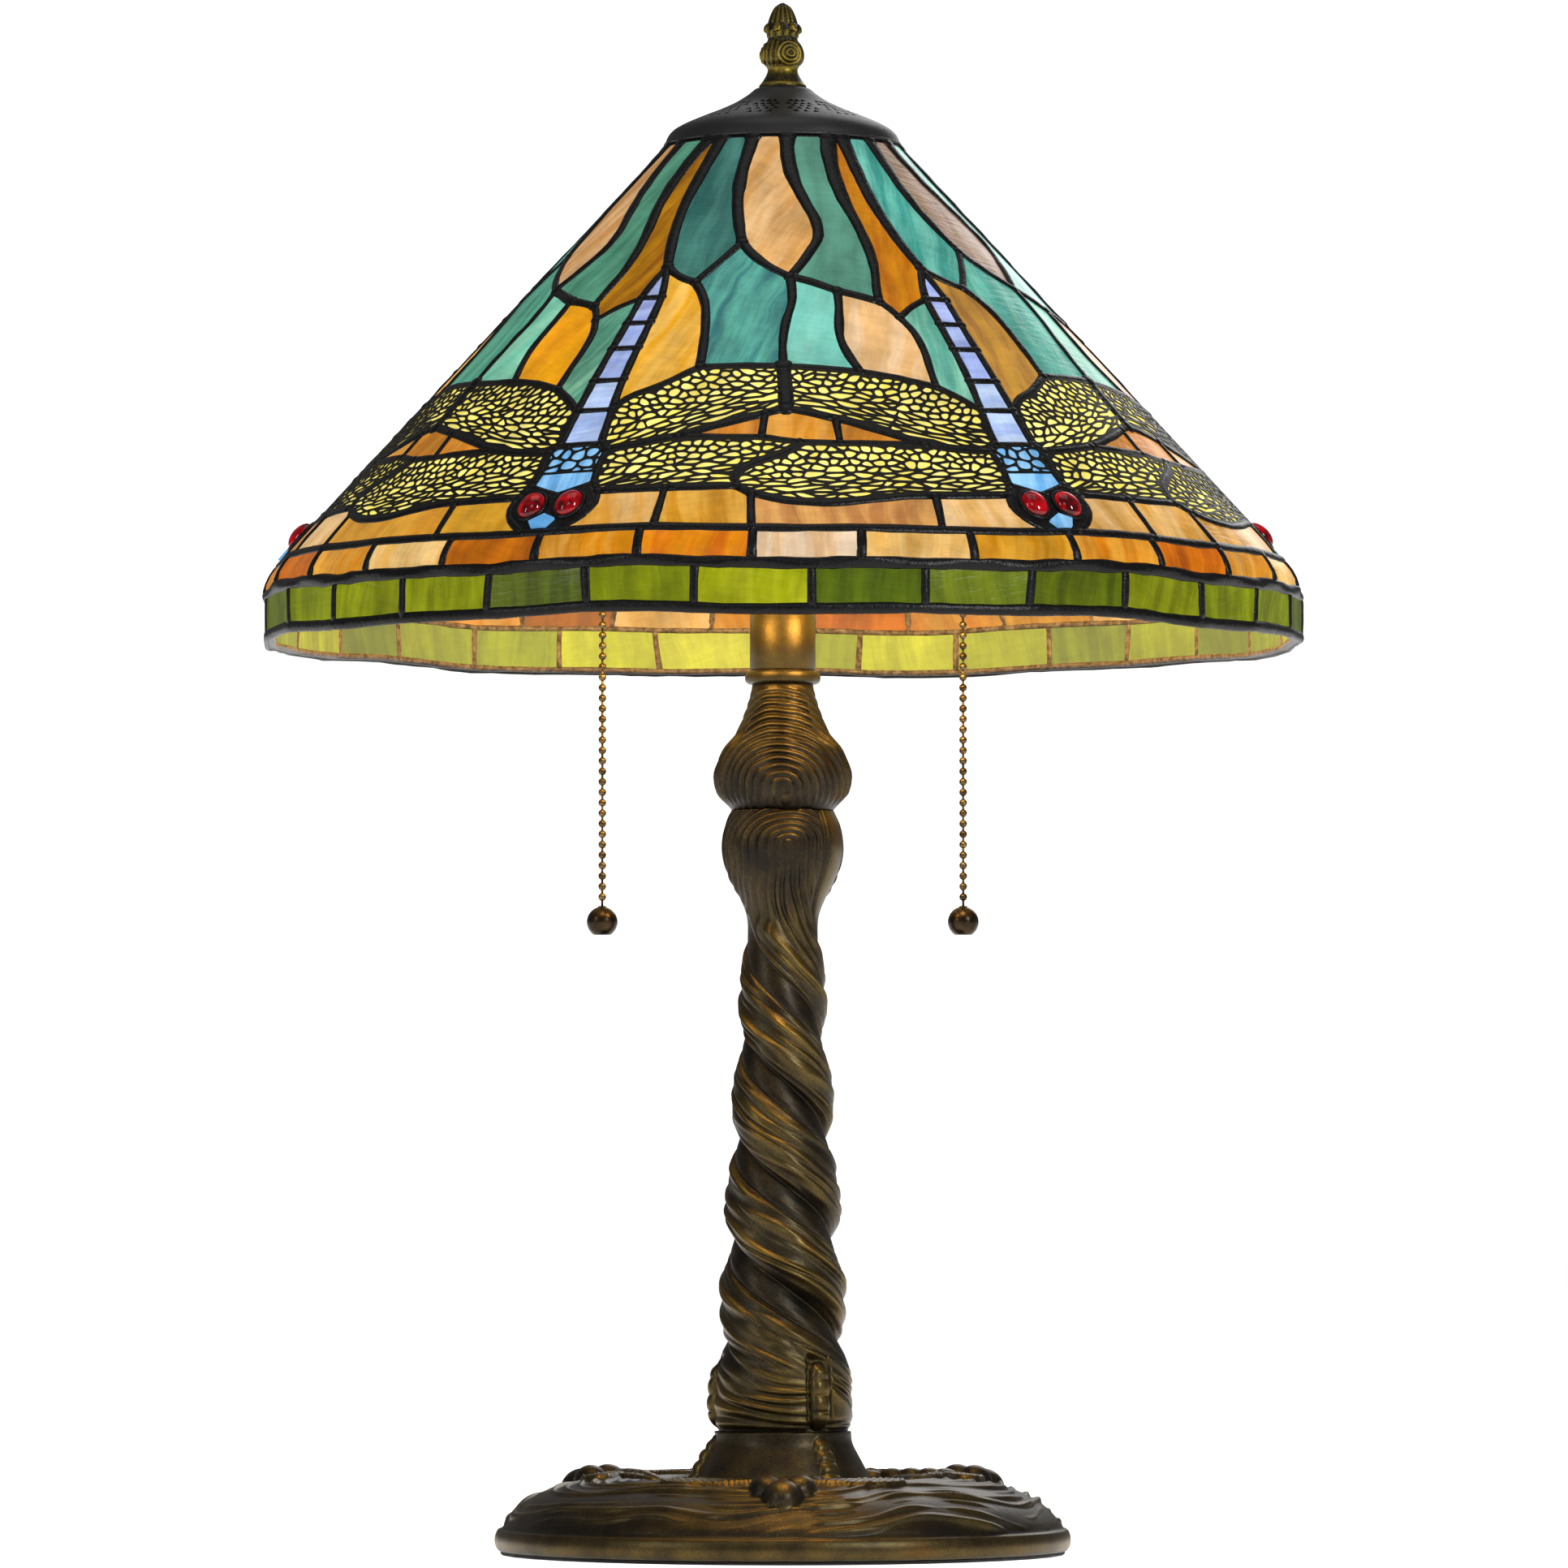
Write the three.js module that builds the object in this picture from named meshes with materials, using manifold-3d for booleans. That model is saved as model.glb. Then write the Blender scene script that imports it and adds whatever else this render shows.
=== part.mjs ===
// A stained glass table lamp: a cone shade of leaded glass over a twin pull-chain socket cluster,
// on a cast column of two twisted strands and a round cast foot. Millimetres, +Z up, origin at the
// centre of the foot's underside. The chains hang at -X and +X, and the cord inlet is at +Y.

import * as THREE from "three";
import { mergeVertices } from "three/addons/utils/BufferGeometryUtils.js";
import Module from "manifold-3d";

const wasm = await Module();
wasm.setup();

// ---- Driving dimensions ----
const GAP = 0.3; // between pieces that touch
const ROUND = 36; // facets of a large turned piece
const SMALL_ROUND = 14; // facets of a small turned piece

const FOOT_R = 111.3;
const FELT_T = 1.2;
const FOOT_TOP_Z = 47.6; // where the column stands on the foot
const INLET_Z = 5; // the cord's hole through the foot's rear wall
const INLET_R = 2.9;
const COLUMN_TOP_Z = 289.4; // the waist between column and neck
const NECK_TOP_Z = 339.3;
const RING_TOP_Z = 344.4;
const SLEEVE_TOP_Z = 376;
const PIPE_R = 4.9; // the lamp pipe that ties foot, column, neck and cluster together
const PIPE_BORE_R = 3.4;
const PIPE_TOP_Z = 402;
const PIPE_HOLE_R = 5.4; // the hole that the pipe passes through

const SOCKET_X = 48; // the sockets stand upright on either side of the axis
const SOCKET_Z = 392;
const SOCKET_R = 17;
const CAP_TOP_OF_SOCKET_Z = 410; // where the socket's cap meets its shell
const SHELL_TOP_Z = 439;
const BULB_NECK_Z = SHELL_TOP_Z + 1;
const ARM_Z = 384;
const ARM_R = 4.2;

const CHAIN_X = 70.6;
const CHAIN_R = 1.6;
const SPOUT_Z = 404;
const SPOUT_MOUTH_Z = 386;
const COUPLING_Z = [373, 379];
const LINK_GAP = 0.7; // the chain swings at the coupling's two ends
const BALL_Z = 246.2;
const BALL_R = 6;

const SHADE_TOP = { r: 46, z: 550 }; // the cone's upper edge
const SHADE_SLOPE = 0.9187; // growth of the cone's radius for each millimetre down
const SLANT = Math.hypot(SHADE_SLOPE, 1); // slant distance for each millimetre of height
const CONE_END_Z = 386; // where the cone starts to turn into the upright skirt
const CORNER = { r: 203, z: 373 };
const SKIRT_R = 203.2;
const RIM_Z = 355;
const CONE_GLASS_T = 4; // measured level, 3 mm square to the cone
const SKIRT_GLASS_T = 3;
const WING_TOP_SLANT = 134; // slant distances below the cone's upper edge
const BRICK_TOP_SLANT = 198;
const EYE_SLANT = 208;
const DRAGONFLIES = 6;
const FIRST_DRAGONFLY_DEG = 32.4; // about +Z from the front
const RISER_R = 3.1;
const RISER_HOLE_R = 3.6;
const CAP_RIM_Z = 550.9;
const CAP_TOP_Z = 573.5;

// ---- Materials ----
const finish = (color, roughness, metalness) =>
  new THREE.MeshStandardMaterial({ color, roughness, metalness });
const bronze = finish(0x3a2f1c, 0.5, 0.7);
const darkMetal = finish(0x1d1b1a, 0.55, 0.6);
const brass = finish(0xb08a3e, 0.3, 1);
const steel = finish(0x8d8d90, 0.35, 1);
const castIron = finish(0x2b2b2d, 0.7, 0.8);
const phenolic = finish(0x1a1412, 0.6, 0);
const felt = finish(0x141414, 1, 0);
const bulbGlass = finish(0xfff4dc, 0.2, 0);
const tealGlass = finish(0x3fa892, 0.2, 0);
const yellowGlass = finish(0xf0e05a, 0.2, 0);
const amberGlass = finish(0xd98f3c, 0.2, 0);
const greenGlass = finish(0x8fae2c, 0.2, 0);
const redGlass = finish(0xa00a18, 0.1, 0);

const lamp = new THREE.Group();
function add(name, geometry, material, parent = lamp) {
  const mesh = new THREE.Mesh(geometry, material);
  mesh.name = name;
  parent.add(mesh);
}

// ---- Shape helpers ----
// Turns a profile of [radius, z] points about +Z. A profile that leaves the axis out is closed.
function turned(profile, facets = SMALL_ROUND) {
  const points = profile.map(([r, z]) => new THREE.Vector2(r, z));
  if (THREE.ShapeUtils.area(points) < 0) points.reverse();
  const onAxis = points[0].x === 0 && points.at(-1).x === 0;
  if (!onAxis) points.push(points[0].clone());
  return new THREE.LatheGeometry(points, facets).rotateX(Math.PI / 2);
}

const collar = (inner, outer, low, high, facets) =>
  turned([[inner, low], [outer, low], [outer, high], [inner, high]], facets);

const rod = (r, low, high, facets) => turned([[0, low], [r, low], [r, high], [0, high]], facets);

// A wall between an outer profile and the same profile moved in by its thickness.
function wall(outer, thickness, facets) {
  const inner = outer.map(([r, z]) => [r - thickness, z]);
  return turned([...outer, ...inner.reverse()], facets);
}

function circlePath(r, sides) {
  const corner = (_, i) => {
    const a = (2 * Math.PI * i) / sides;
    return new THREE.Vector2(r * Math.cos(a), r * Math.sin(a));
  };
  return Array.from({ length: sides }, corner);
}

// A tube along a curve, with a bore when boreR is given.
function tube(curve, r, { steps = 1, sides = 8, boreR = 0 } = {}) {
  const section = new THREE.Shape(circlePath(r, sides));
  if (boreR) section.holes.push(new THREE.Path(circlePath(boreR, sides).reverse()));
  return new THREE.ExtrudeGeometry(section, { steps, extrudePath: curve, bevelEnabled: false });
}

function hexNut(across, boreR, low, high) {
  const shape = new THREE.Shape(circlePath(across / Math.sqrt(3), 6));
  shape.holes.push(new THREE.Path(circlePath(boreR, 12).reverse()));
  const nut = new THREE.ExtrudeGeometry(shape, { depth: high - low, bevelEnabled: false });
  return nut.translate(0, 0, low);
}

// A closed mesh of loops of points, each joined to the next. It goes round from the last loop to
// the first, or it is a bar of four-cornered loops with a flat end on each.
function loft(loops, { bar = false } = {}) {
  const n = loops[0].length;
  const index = [];
  for (let k = 0; k < loops.length - (bar ? 1 : 0); k++) {
    const next = (k + 1) % loops.length;
    for (let i = 0; i < n; i++) {
      const j = (i + 1) % n;
      const [a, b, c, d] = [k * n + i, k * n + j, next * n + j, next * n + i];
      index.push(a, b, c, a, c, d);
    }
  }
  if (bar) {
    const end = (loops.length - 1) * n;
    index.push(0, 2, 1, 0, 3, 2, end, end + 1, end + 2, end, end + 2, end + 3);
  }
  const geometry = new THREE.BufferGeometry();
  geometry.setAttribute("position", new THREE.Float32BufferAttribute(loops.flat(2), 3));
  geometry.setIndex(index);
  return geometry;
}

// manifold-3d cuts and joins: these carry a geometry to it and back.
function toSolid(geometry) {
  const bare = new THREE.BufferGeometry();
  bare.setAttribute("position", geometry.getAttribute("position"));
  if (geometry.index) bare.setIndex(geometry.index);
  const merged = mergeVertices(bare, 1e-3);
  const vertProperties = merged.attributes.position.array;
  const triVerts = new Uint32Array(merged.index.array);
  return new wasm.Manifold(new wasm.Mesh({ numProp: 3, vertProperties, triVerts }));
}

function fromSolid(solid) {
  const mesh = solid.getMesh();
  const geometry = new THREE.BufferGeometry();
  geometry.setAttribute("position", new THREE.BufferAttribute(mesh.vertProperties, 3));
  geometry.setIndex(new THREE.BufferAttribute(mesh.triVerts, 1));
  return geometry;
}

const joined = (geometries) => fromSolid(geometries.map(toSolid).reduce((a, b) => a.add(b)));

// ---- Foot ----
function footCasting() {
  const outer = [
    [FOOT_R, FELT_T + GAP], [FOOT_R, 8.4], [107.5, 11.2], [95, 23.6], [84, 28.6], [58, 31.5],
    [43, 26], [36.5, 26], [31.3, 35], [26.8, FOOT_TOP_Z],
  ];
  const inner = [
    [PIPE_HOLE_R, FOOT_TOP_Z], [PIPE_HOLE_R, 43], [23, 42], [38, 21.5], [83, 23], [106.5, 7],
    [106.5, FELT_T + GAP],
  ];
  const rearWall = new THREE.LineCurve3(
    new THREE.Vector3(0, 100, INLET_Z),
    new THREE.Vector3(0, FOOT_R + 5, INLET_Z),
  );
  const inlet = toSolid(tube(rearWall, INLET_R, { sides: 12 }));
  return fromSolid(toSolid(turned([...outer, ...inner], ROUND)).subtract(inlet));
}

// The rear inlet's plastic bushing: a flange outside the foot and a sleeve through its wall.
function cordBushing() {
  const sleeveR = INLET_R - 0.4;
  const boreR = 1.7;
  const flange = { r: 3.5, y: FOOT_R + GAP, t: 0.9 };
  const profile = [
    [boreR, 104.8], [sleeveR, 104.8], [sleeveR, flange.y], [flange.r, flange.y],
    [flange.r, flange.y + flange.t], [boreR, flange.y + flange.t],
  ];
  return turned(profile, 12).rotateX(-Math.PI / 2).translate(0, 0, INLET_Z);
}

function ballast() {
  const profile = [
    [12, 10], [74, 10], [74, 20], [38, 19], [27, 32], [21.5, 41.7], [12, 41.7],
  ];
  return turned(profile, 20);
}

add("foot_casting", footCasting(), bronze);
add("felt_pad", rod(110, 0, FELT_T, ROUND), felt);
add("ballast_ring", ballast(), castIron);
add("foot_washer", collar(PIPE_HOLE_R, 20, 8, 9.6), steel);
add("foot_nut", hexNut(16, PIPE_HOLE_R, 3.1, 7.7), steel);
add("cord_bushing", cordBushing(), phenolic);
add("lamp_pipe", collar(PIPE_BORE_R, PIPE_R, 2.2, PIPE_TOP_Z, 12), steel);

// ---- Column of two twisted strands ----
const TWIST_DEG_PER_MM = 4.737;
const SIDE_BY_SIDE_Z = 141.7; // a height where the strands lie side by side along X
const COLUMN_SIDES = 20;
const COLUMN_STEP = 8;
// [height, strand radius, strand offset] up the column; the offset is nothing where it is round.
const STRANDS = [
  [FOOT_TOP_Z + GAP, 26.6, 0], [52, 27.2, 0], [64, 27.2, 0], [74, 26, 0], [84.5, 20.6, 1.5],
  [103.6, 20.1, 3.4], [141.7, 18.1, 3.9], [179.7, 15.6, 3.9], [217.8, 14.2, 2.1], [235, 14.6, 1.2],
  [248, 14.8, 0], [256, 17.6, 0], [264, 21.4, 0], [275, 24.2, 0], [281, 23.8, 0],
  [COLUMN_TOP_Z, 20.8, 0],
];

function strandsAt(z) {
  const above = STRANDS.findIndex(([height]) => height >= z - 1e-6);
  const [a, b] = [STRANDS[Math.max(1, above) - 1], STRANDS[Math.max(1, above)]];
  const t = (z - a[0]) / (b[0] - a[0]);
  return [a[1] + (b[1] - a[1]) * t, a[2] + (b[2] - a[2]) * t];
}

const loopAt = (z, radiusAt) =>
  Array.from({ length: COLUMN_SIDES }, (_, i) => {
    const a = (2 * Math.PI * i) / COLUMN_SIDES;
    return [radiusAt(a) * Math.cos(a), radiusAt(a) * Math.sin(a), z];
  });

// One level of the column: the outline of two round strands side by side, turned by the twist.
function columnLoop(z) {
  const [radius, offset] = strandsAt(z);
  const turn = THREE.MathUtils.degToRad(-TWIST_DEG_PER_MM * (z - SIDE_BY_SIDE_Z));
  const outline = (a) =>
    offset * Math.abs(Math.cos(a - turn)) + Math.sqrt(radius ** 2 - (offset * Math.sin(a - turn)) ** 2);
  return loopAt(z, outline);
}

function columnCasting() {
  const [low, high] = [FOOT_TOP_Z + GAP, COLUMN_TOP_Z];
  const count = Math.round((high - low) / COLUMN_STEP);
  const heights = Array.from({ length: count + 1 }, (_, i) => low + ((high - low) * i) / count);
  const bore = [high, low].map((z) => loopAt(z, () => PIPE_HOLE_R));
  return loft([...heights.map(columnLoop), ...bore]);
}

function neckCasting() {
  const outer = [
    [20.6, COLUMN_TOP_Z + GAP], [25.6, 298], [26.4, 303.5], [24.3, 313], [18.6, 320.6],
    [15.4, 328.2], [12.8, NECK_TOP_Z],
  ];
  const bore = [[PIPE_HOLE_R, NECK_TOP_Z], [PIPE_HOLE_R, COLUMN_TOP_Z + GAP]];
  return turned([...outer, ...bore], 20);
}

function checkRing() {
  const profile = [
    [13.6, NECK_TOP_Z + GAP], [14.75, 341], [14.75, 343], [13.6, RING_TOP_Z],
    [PIPE_HOLE_R, RING_TOP_Z], [PIPE_HOLE_R, NECK_TOP_Z + GAP],
  ];
  return turned(profile, 20);
}

add("column_casting", columnCasting(), bronze);
add("neck_casting", neckCasting(), bronze);
add("check_ring", checkRing(), bronze);
add("sleeve_tube", collar(11.6, 12.85, RING_TOP_Z + GAP, SLEEVE_TOP_Z, 20), bronze);

// ---- Socket cluster ----
// The hub is screwed on the pipe's upper end and holds the riser's lower end.
function clusterHub() {
  const outer = [[14, SLEEVE_TOP_Z + GAP], [14, 377.5], [11.5, 379], [11.5, 394], [8, 398], [8, 410]];
  const inner = [
    [RISER_HOLE_R, 410], [RISER_HOLE_R, PIPE_TOP_Z + 0.5], [PIPE_HOLE_R, PIPE_TOP_Z + 0.5],
    [PIPE_HOLE_R, SLEEVE_TOP_Z + GAP],
  ];
  return turned([...outer, ...inner]);
}

const inPlane = (x, z) => new THREE.Vector3(x, 0, z);

// A route that goes level from startX, bends and then goes straight up or down to endZ.
function elbow(startX, level, cornerX, endZ, bend) {
  const turnZ = level + Math.sign(endZ - level) * bend;
  const path = new THREE.CurvePath();
  path.add(new THREE.LineCurve3(inPlane(startX, level), inPlane(cornerX - bend, level)));
  path.add(
    new THREE.QuadraticBezierCurve3(
      inPlane(cornerX - bend, level), inPlane(cornerX, level), inPlane(cornerX, turnZ),
    ),
  );
  path.add(new THREE.LineCurve3(inPlane(cornerX, turnZ), inPlane(cornerX, endZ)));
  return path;
}

const clusterArm = () =>
  tube(elbow(12.2, ARM_Z, SOCKET_X, SOCKET_Z - GAP, 6), ARM_R, { steps: 8 });

// The bent spout that guides the chain out of the socket's side and down.
const chainSpout = () =>
  tube(
    elbow(SOCKET_X + SOCKET_R + GAP, SPOUT_Z, CHAIN_X, SPOUT_MOUTH_Z, 3.4),
    3.3,
    { steps: 8, boreR: 2.3 },
  );

const socketCap = [
  [5, SOCKET_Z], [12, SOCKET_Z], [SOCKET_R, 399], [SOCKET_R, CAP_TOP_OF_SOCKET_Z],
  [SOCKET_R - 1, CAP_TOP_OF_SOCKET_Z], [SOCKET_R - 1, 399.5], [11.5, 393.2], [5, 393.2],
];
const socketShell = [
  [16.4, CAP_TOP_OF_SOCKET_Z + GAP], [16.4, 430], [SOCKET_R, 431], [SOCKET_R, SHELL_TOP_Z],
  [15.8, SHELL_TOP_Z], [15.8, 431.5], [15.4, 430.5], [15.4, CAP_TOP_OF_SOCKET_Z + GAP],
];
// The moulded switch body, with the cup that the bulb's cap screws into.
const socketSwitch = [
  [0, 397], [11, 397], [14.6, 401], [14.6, 418], [15, 419], [15, 436], [13.9, 436], [13.9, 419],
  [0, 417],
];
const bulbCap = [
  [0, 420], [4.5, 420], [8, 423], [12.9, 426], [13.2, BULB_NECK_Z - GAP], [0, BULB_NECK_Z - GAP],
];
const coupling = [
  [0, COUPLING_Z[0]], [2.5, COUPLING_Z[0]], [2.1, COUPLING_Z[1]], [0, COUPLING_Z[1]],
];
const pullBall = [
  [0, BALL_Z - 5.1], [3.2, BALL_Z - 5.1], [5.2, BALL_Z - 3], [BALL_R, BALL_Z], [5.2, BALL_Z + 3],
  [3, BALL_Z + 5.2], [0, BALL_Z + BALL_R],
];

function bulbEnvelope() {
  const glassT = 1;
  const tip = { r: 0, z: 517 };
  const outer = [
    [13.2, BULB_NECK_Z], [17, 456], [28, 476], [29.8, 487], [27, 501], [15, 513.5],
  ];
  const inner = outer.map(([r, z]) => [r - glassT, z > 487 ? z - glassT : z]);
  return turned([[0, tip.z - 1.2], ...inner.reverse(), ...outer, [0, tip.z]]);
}

add("cluster_hub", clusterHub(), darkMetal);
const along = (geometry, x) => geometry.translate(x, 0, 0);

for (const [side, turn] of Object.entries({ left: Math.PI, right: 0 })) {
  const half = new THREE.Group();
  half.rotation.z = turn;
  lamp.add(half);
  const place = (name, geometry, material) => add(`${name}_${side}`, geometry, material, half);
  place("cluster_arm", clusterArm(), darkMetal);
  place("socket_cap", along(turned(socketCap), SOCKET_X), brass);
  place("socket_shell", along(turned(socketShell), SOCKET_X), brass);
  place("socket_switch", along(turned(socketSwitch), SOCKET_X), phenolic);
  place("chain_spout", chainSpout(), brass);
  place("bulb_envelope", along(bulbEnvelope(), SOCKET_X), bulbGlass);
  place("bulb_cap", along(turned(bulbCap), SOCKET_X), steel);
  place("switch_chain", along(rod(CHAIN_R, COUPLING_Z[1] + LINK_GAP, 399, 8), CHAIN_X), brass);
  place("chain_coupling", along(turned(coupling, 8), CHAIN_X), brass);
  const chain = rod(CHAIN_R, BALL_Z + BALL_R + GAP, COUPLING_Z[0] - LINK_GAP, 8);
  place("pull_chain", along(chain, CHAIN_X), brass);
  place("pull_ball", along(turned(pullBall), CHAIN_X), darkMetal);
}

// ---- Riser, and the spider that the shade rests on ----
const SPIDER_Z = [547.2, 550.1];
function shadeSpider() {
  const [low, high] = SPIDER_Z;
  const hub = collar(RISER_HOLE_R, 8, low, high);
  const rim = collar(38, 41.4, low, high, 24);
  const arms = [0, 120, 240].map((deg) => {
    const arm = new THREE.BoxGeometry(33, 5, high - low - 0.4);
    return arm.translate(23, 0, (low + high) / 2).rotateZ(THREE.MathUtils.degToRad(deg));
  });
  return joined([hub, rim, ...arms]);
}

add("riser_rod", rod(RISER_R, PIPE_TOP_Z + 1, 590, 12), steel);
add("riser_nut", hexNut(12, RISER_HOLE_R, 542.8, SPIDER_Z[0] - GAP), steel);
add("shade_spider", shadeSpider(), brass);

// ---- Shade ----
// Radius of the shade's outer face at a height.
function shadeRadius(z) {
  const coneAt = (height) => SHADE_TOP.r + SHADE_SLOPE * (SHADE_TOP.z - height);
  const t = Math.max(0, CONE_END_Z - z) / (CONE_END_Z - CORNER.z);
  return coneAt(Math.max(z, CONE_END_Z)) * (1 - t) + CORNER.r * t;
}
const slantToZ = (s) => SHADE_TOP.z - s / SLANT;

// A band of the cone's glass between two heights.
const glassBand = (high, low) =>
  wall([high, low].map((z) => [shadeRadius(z), z]), CONE_GLASS_T, ROUND);

const JOINT = 0.6; // between two bands
const wingTopZ = slantToZ(WING_TOP_SLANT);
const brickTopZ = slantToZ(BRICK_TOP_SLANT);
add("upper_field_glass", glassBand(SHADE_TOP.z, wingTopZ + JOINT), tealGlass);
add("wing_band_glass", glassBand(wingTopZ, brickTopZ + JOINT), yellowGlass);
add("upper_brick_glass", glassBand(brickTopZ, CONE_END_Z + JOINT), amberGlass);
add("lower_brick_glass", glassBand(CONE_END_Z, CORNER.z + JOINT), amberGlass);
const skirt = [[CORNER.r, CORNER.z], [SKIRT_R, RIM_Z + 2.6]];
add("skirt_glass", wall(skirt, SKIRT_GLASS_T, ROUND), greenGlass);
add("rim_wire", collar(SKIRT_R - SKIRT_GLASS_T, SKIRT_R, RIM_Z, RIM_Z + 2, ROUND), darkMetal);
const topRing = [[40, 550.4], [44.6, 550.4], [43.6, 551.8], [40, 551.8]];
add("shade_top_ring", turned(topRing, 24), brass);

// Axes on the cone at an angle from the front and a slant distance: across, up the slope, outward.
function coneAxes(deg, s, lift) {
  const a = THREE.MathUtils.degToRad(deg - 90);
  const across = new THREE.Vector3(-Math.sin(a), Math.cos(a), 0);
  const outward = new THREE.Vector3(Math.cos(a), Math.sin(a), SHADE_SLOPE).divideScalar(SLANT);
  const upSlope = outward.clone().cross(across);
  const z = slantToZ(s);
  const r = shadeRadius(z);
  const origin = new THREE.Vector3(r * Math.cos(a), r * Math.sin(a), z).addScaledVector(outward, lift);
  return new THREE.Matrix4().makeBasis(across, upSlope, outward).setPosition(origin);
}
const conePoint = (deg, s, lift) =>
  new THREE.Vector3().setFromMatrixPosition(coneAxes(deg, s, lift)).toArray();

// The pierced brass overlay of one dragonfly: two pairs of wings that cross at its body. A wing
// pair is [degrees from the body, upper edge, lower edge] from the body to one tip.
const OVERLAY_LIFT = 1.1; // clear of the corners of the faceted glass below it
const OVERLAY_T = 0.9;
const UPPER_WINGS = [[0, 152, 182], [4, 150, 177], [11, 138, 171], [20, 134.5, 162], [29.2, 134.5, 156]];
const LOWER_WINGS = [[0, 168, 199.5], [4, 172, 199.5], [11, 174, 200], [20, 175.5, 198.5], [29.2, 177, 190]];
function wingPair(middle, half) {
  const mirrored = half.slice(1).map(([deg, ...edges]) => [-deg, ...edges]);
  const bars = [...mirrored.reverse(), ...half].map(([deg, upper, lower]) => [
    conePoint(middle + deg, lower, OVERLAY_LIFT),
    conePoint(middle + deg, upper, OVERLAY_LIFT),
    conePoint(middle + deg, upper, OVERLAY_LIFT + OVERLAY_T),
    conePoint(middle + deg, lower, OVERLAY_LIFT + OVERLAY_T),
  ]);
  return loft(bars, { bar: true });
}

// One dragonfly's head: two ruby glass jewels, domes with an oval foot, in one soldered setting.
const EYE = { halfWidth: 5.2, halfLength: 6.4, height: 3.4, fromMiddle: 7.5 };
const SETTING = { halfWidth: 13.5, halfLength: 7.6, t: 1 };
const HEAD_LIFT = 0.6;
function dragonflyHead(middle) {
  const oval = (profile, { halfWidth, halfLength }) =>
    turned(profile, 12).scale(1, halfLength / halfWidth, 1);
  const dome = [[0, 0], [EYE.halfWidth, 0], [4.1, 2], [0, EYE.height]];
  const plate = [[0, 0], [SETTING.halfWidth, 0], [SETTING.halfWidth - 1, SETTING.t], [0, SETTING.t]];
  const jewels = [-1, 1].map((side) => oval(dome, EYE).translate(side * EYE.fromMiddle, 0, 0));
  return joined([oval(plate, SETTING), ...jewels]).applyMatrix4(coneAxes(middle, EYE_SLANT, HEAD_LIFT));
}

for (let i = 0; i < DRAGONFLIES; i++) {
  const middle = FIRST_DRAGONFLY_DEG + (360 * i) / DRAGONFLIES;
  const wings = joined([wingPair(middle, UPPER_WINGS), wingPair(middle, LOWER_WINGS)]);
  add(`wing_overlay_${i + 1}`, wings, darkMetal);
  add(`dragonfly_head_${i + 1}`, dragonflyHead(middle), redGlass);
}

// ---- Cap and finial ----
function vaseCap() {
  const outer = [
    [46.5, CAP_RIM_Z], [45.8, 552.8], [43.1, 556.6], [31.4, 562.3], [22, 566.2], [15.2, 570],
    [10.7, CAP_TOP_Z],
  ];
  const inner = [
    [RISER_HOLE_R, CAP_TOP_Z], [RISER_HOLE_R, 572], [10.2, 571.6], [21.4, 564.6], [30.8, 560.7],
    [43.3, 553.4], [45.3, CAP_RIM_Z],
  ];
  return turned([...outer, ...inner], 24);
}

function finial() {
  const outer = [
    [9.5, CAP_TOP_Z + GAP], [6.1, 580.5], [8.7, 585.2], [5.7, 592.8], [7, 596.6], [3.5, 604.2],
    [0, 606.5],
  ];
  const bore = [[0, 591], [RISER_HOLE_R, 591], [RISER_HOLE_R, CAP_TOP_Z + GAP]];
  return turned([...bore, ...outer]);
}

add("vase_cap", vaseCap(), darkMetal);
add("finial", finial(), brass);

export default lamp;
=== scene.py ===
"""The looks of a stained glass dragonfly table lamp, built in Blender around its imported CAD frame.

Sizes are in millimetres until a mesh is made. An azimuth is an angle in degrees about +Z from the
front (-Y) and grows towards +X. A slant is a distance down the shade's face from its upper edge.
"""

import math

import bpy
import numpy as np
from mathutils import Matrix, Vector
from mathutils.geometry import delaunay_2d_cdt


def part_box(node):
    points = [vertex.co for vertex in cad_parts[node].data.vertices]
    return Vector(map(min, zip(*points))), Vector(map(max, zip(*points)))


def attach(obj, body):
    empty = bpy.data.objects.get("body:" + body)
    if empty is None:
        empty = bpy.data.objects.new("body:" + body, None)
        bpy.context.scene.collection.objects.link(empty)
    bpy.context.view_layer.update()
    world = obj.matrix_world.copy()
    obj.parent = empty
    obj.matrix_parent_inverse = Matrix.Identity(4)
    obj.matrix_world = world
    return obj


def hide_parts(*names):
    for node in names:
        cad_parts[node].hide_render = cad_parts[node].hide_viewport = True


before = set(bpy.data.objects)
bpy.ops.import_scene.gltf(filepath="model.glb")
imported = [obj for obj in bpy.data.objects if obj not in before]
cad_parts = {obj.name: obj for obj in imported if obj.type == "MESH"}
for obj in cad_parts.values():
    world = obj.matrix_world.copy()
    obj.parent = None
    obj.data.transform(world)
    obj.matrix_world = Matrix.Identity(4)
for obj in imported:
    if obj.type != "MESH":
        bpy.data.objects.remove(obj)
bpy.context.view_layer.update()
MM = 0.001
TURN = 2 * math.pi
SIDES = {"left": -1, "right": 1}


# ---- Places in the CAD frame ----
def extent(node, axis):
    """How far a CAD node reaches along an axis, from low to high, to the nearest tenth."""
    return [round(float(corner["xyz".index(axis)]) / MM, 1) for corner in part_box(node)]


def bottom(node):
    return extent(node, "z")[0]


def top(node):
    return extent(node, "z")[1]


def middle_x(node):
    return round(sum(extent(node, "x")) / 2, 1)


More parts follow.
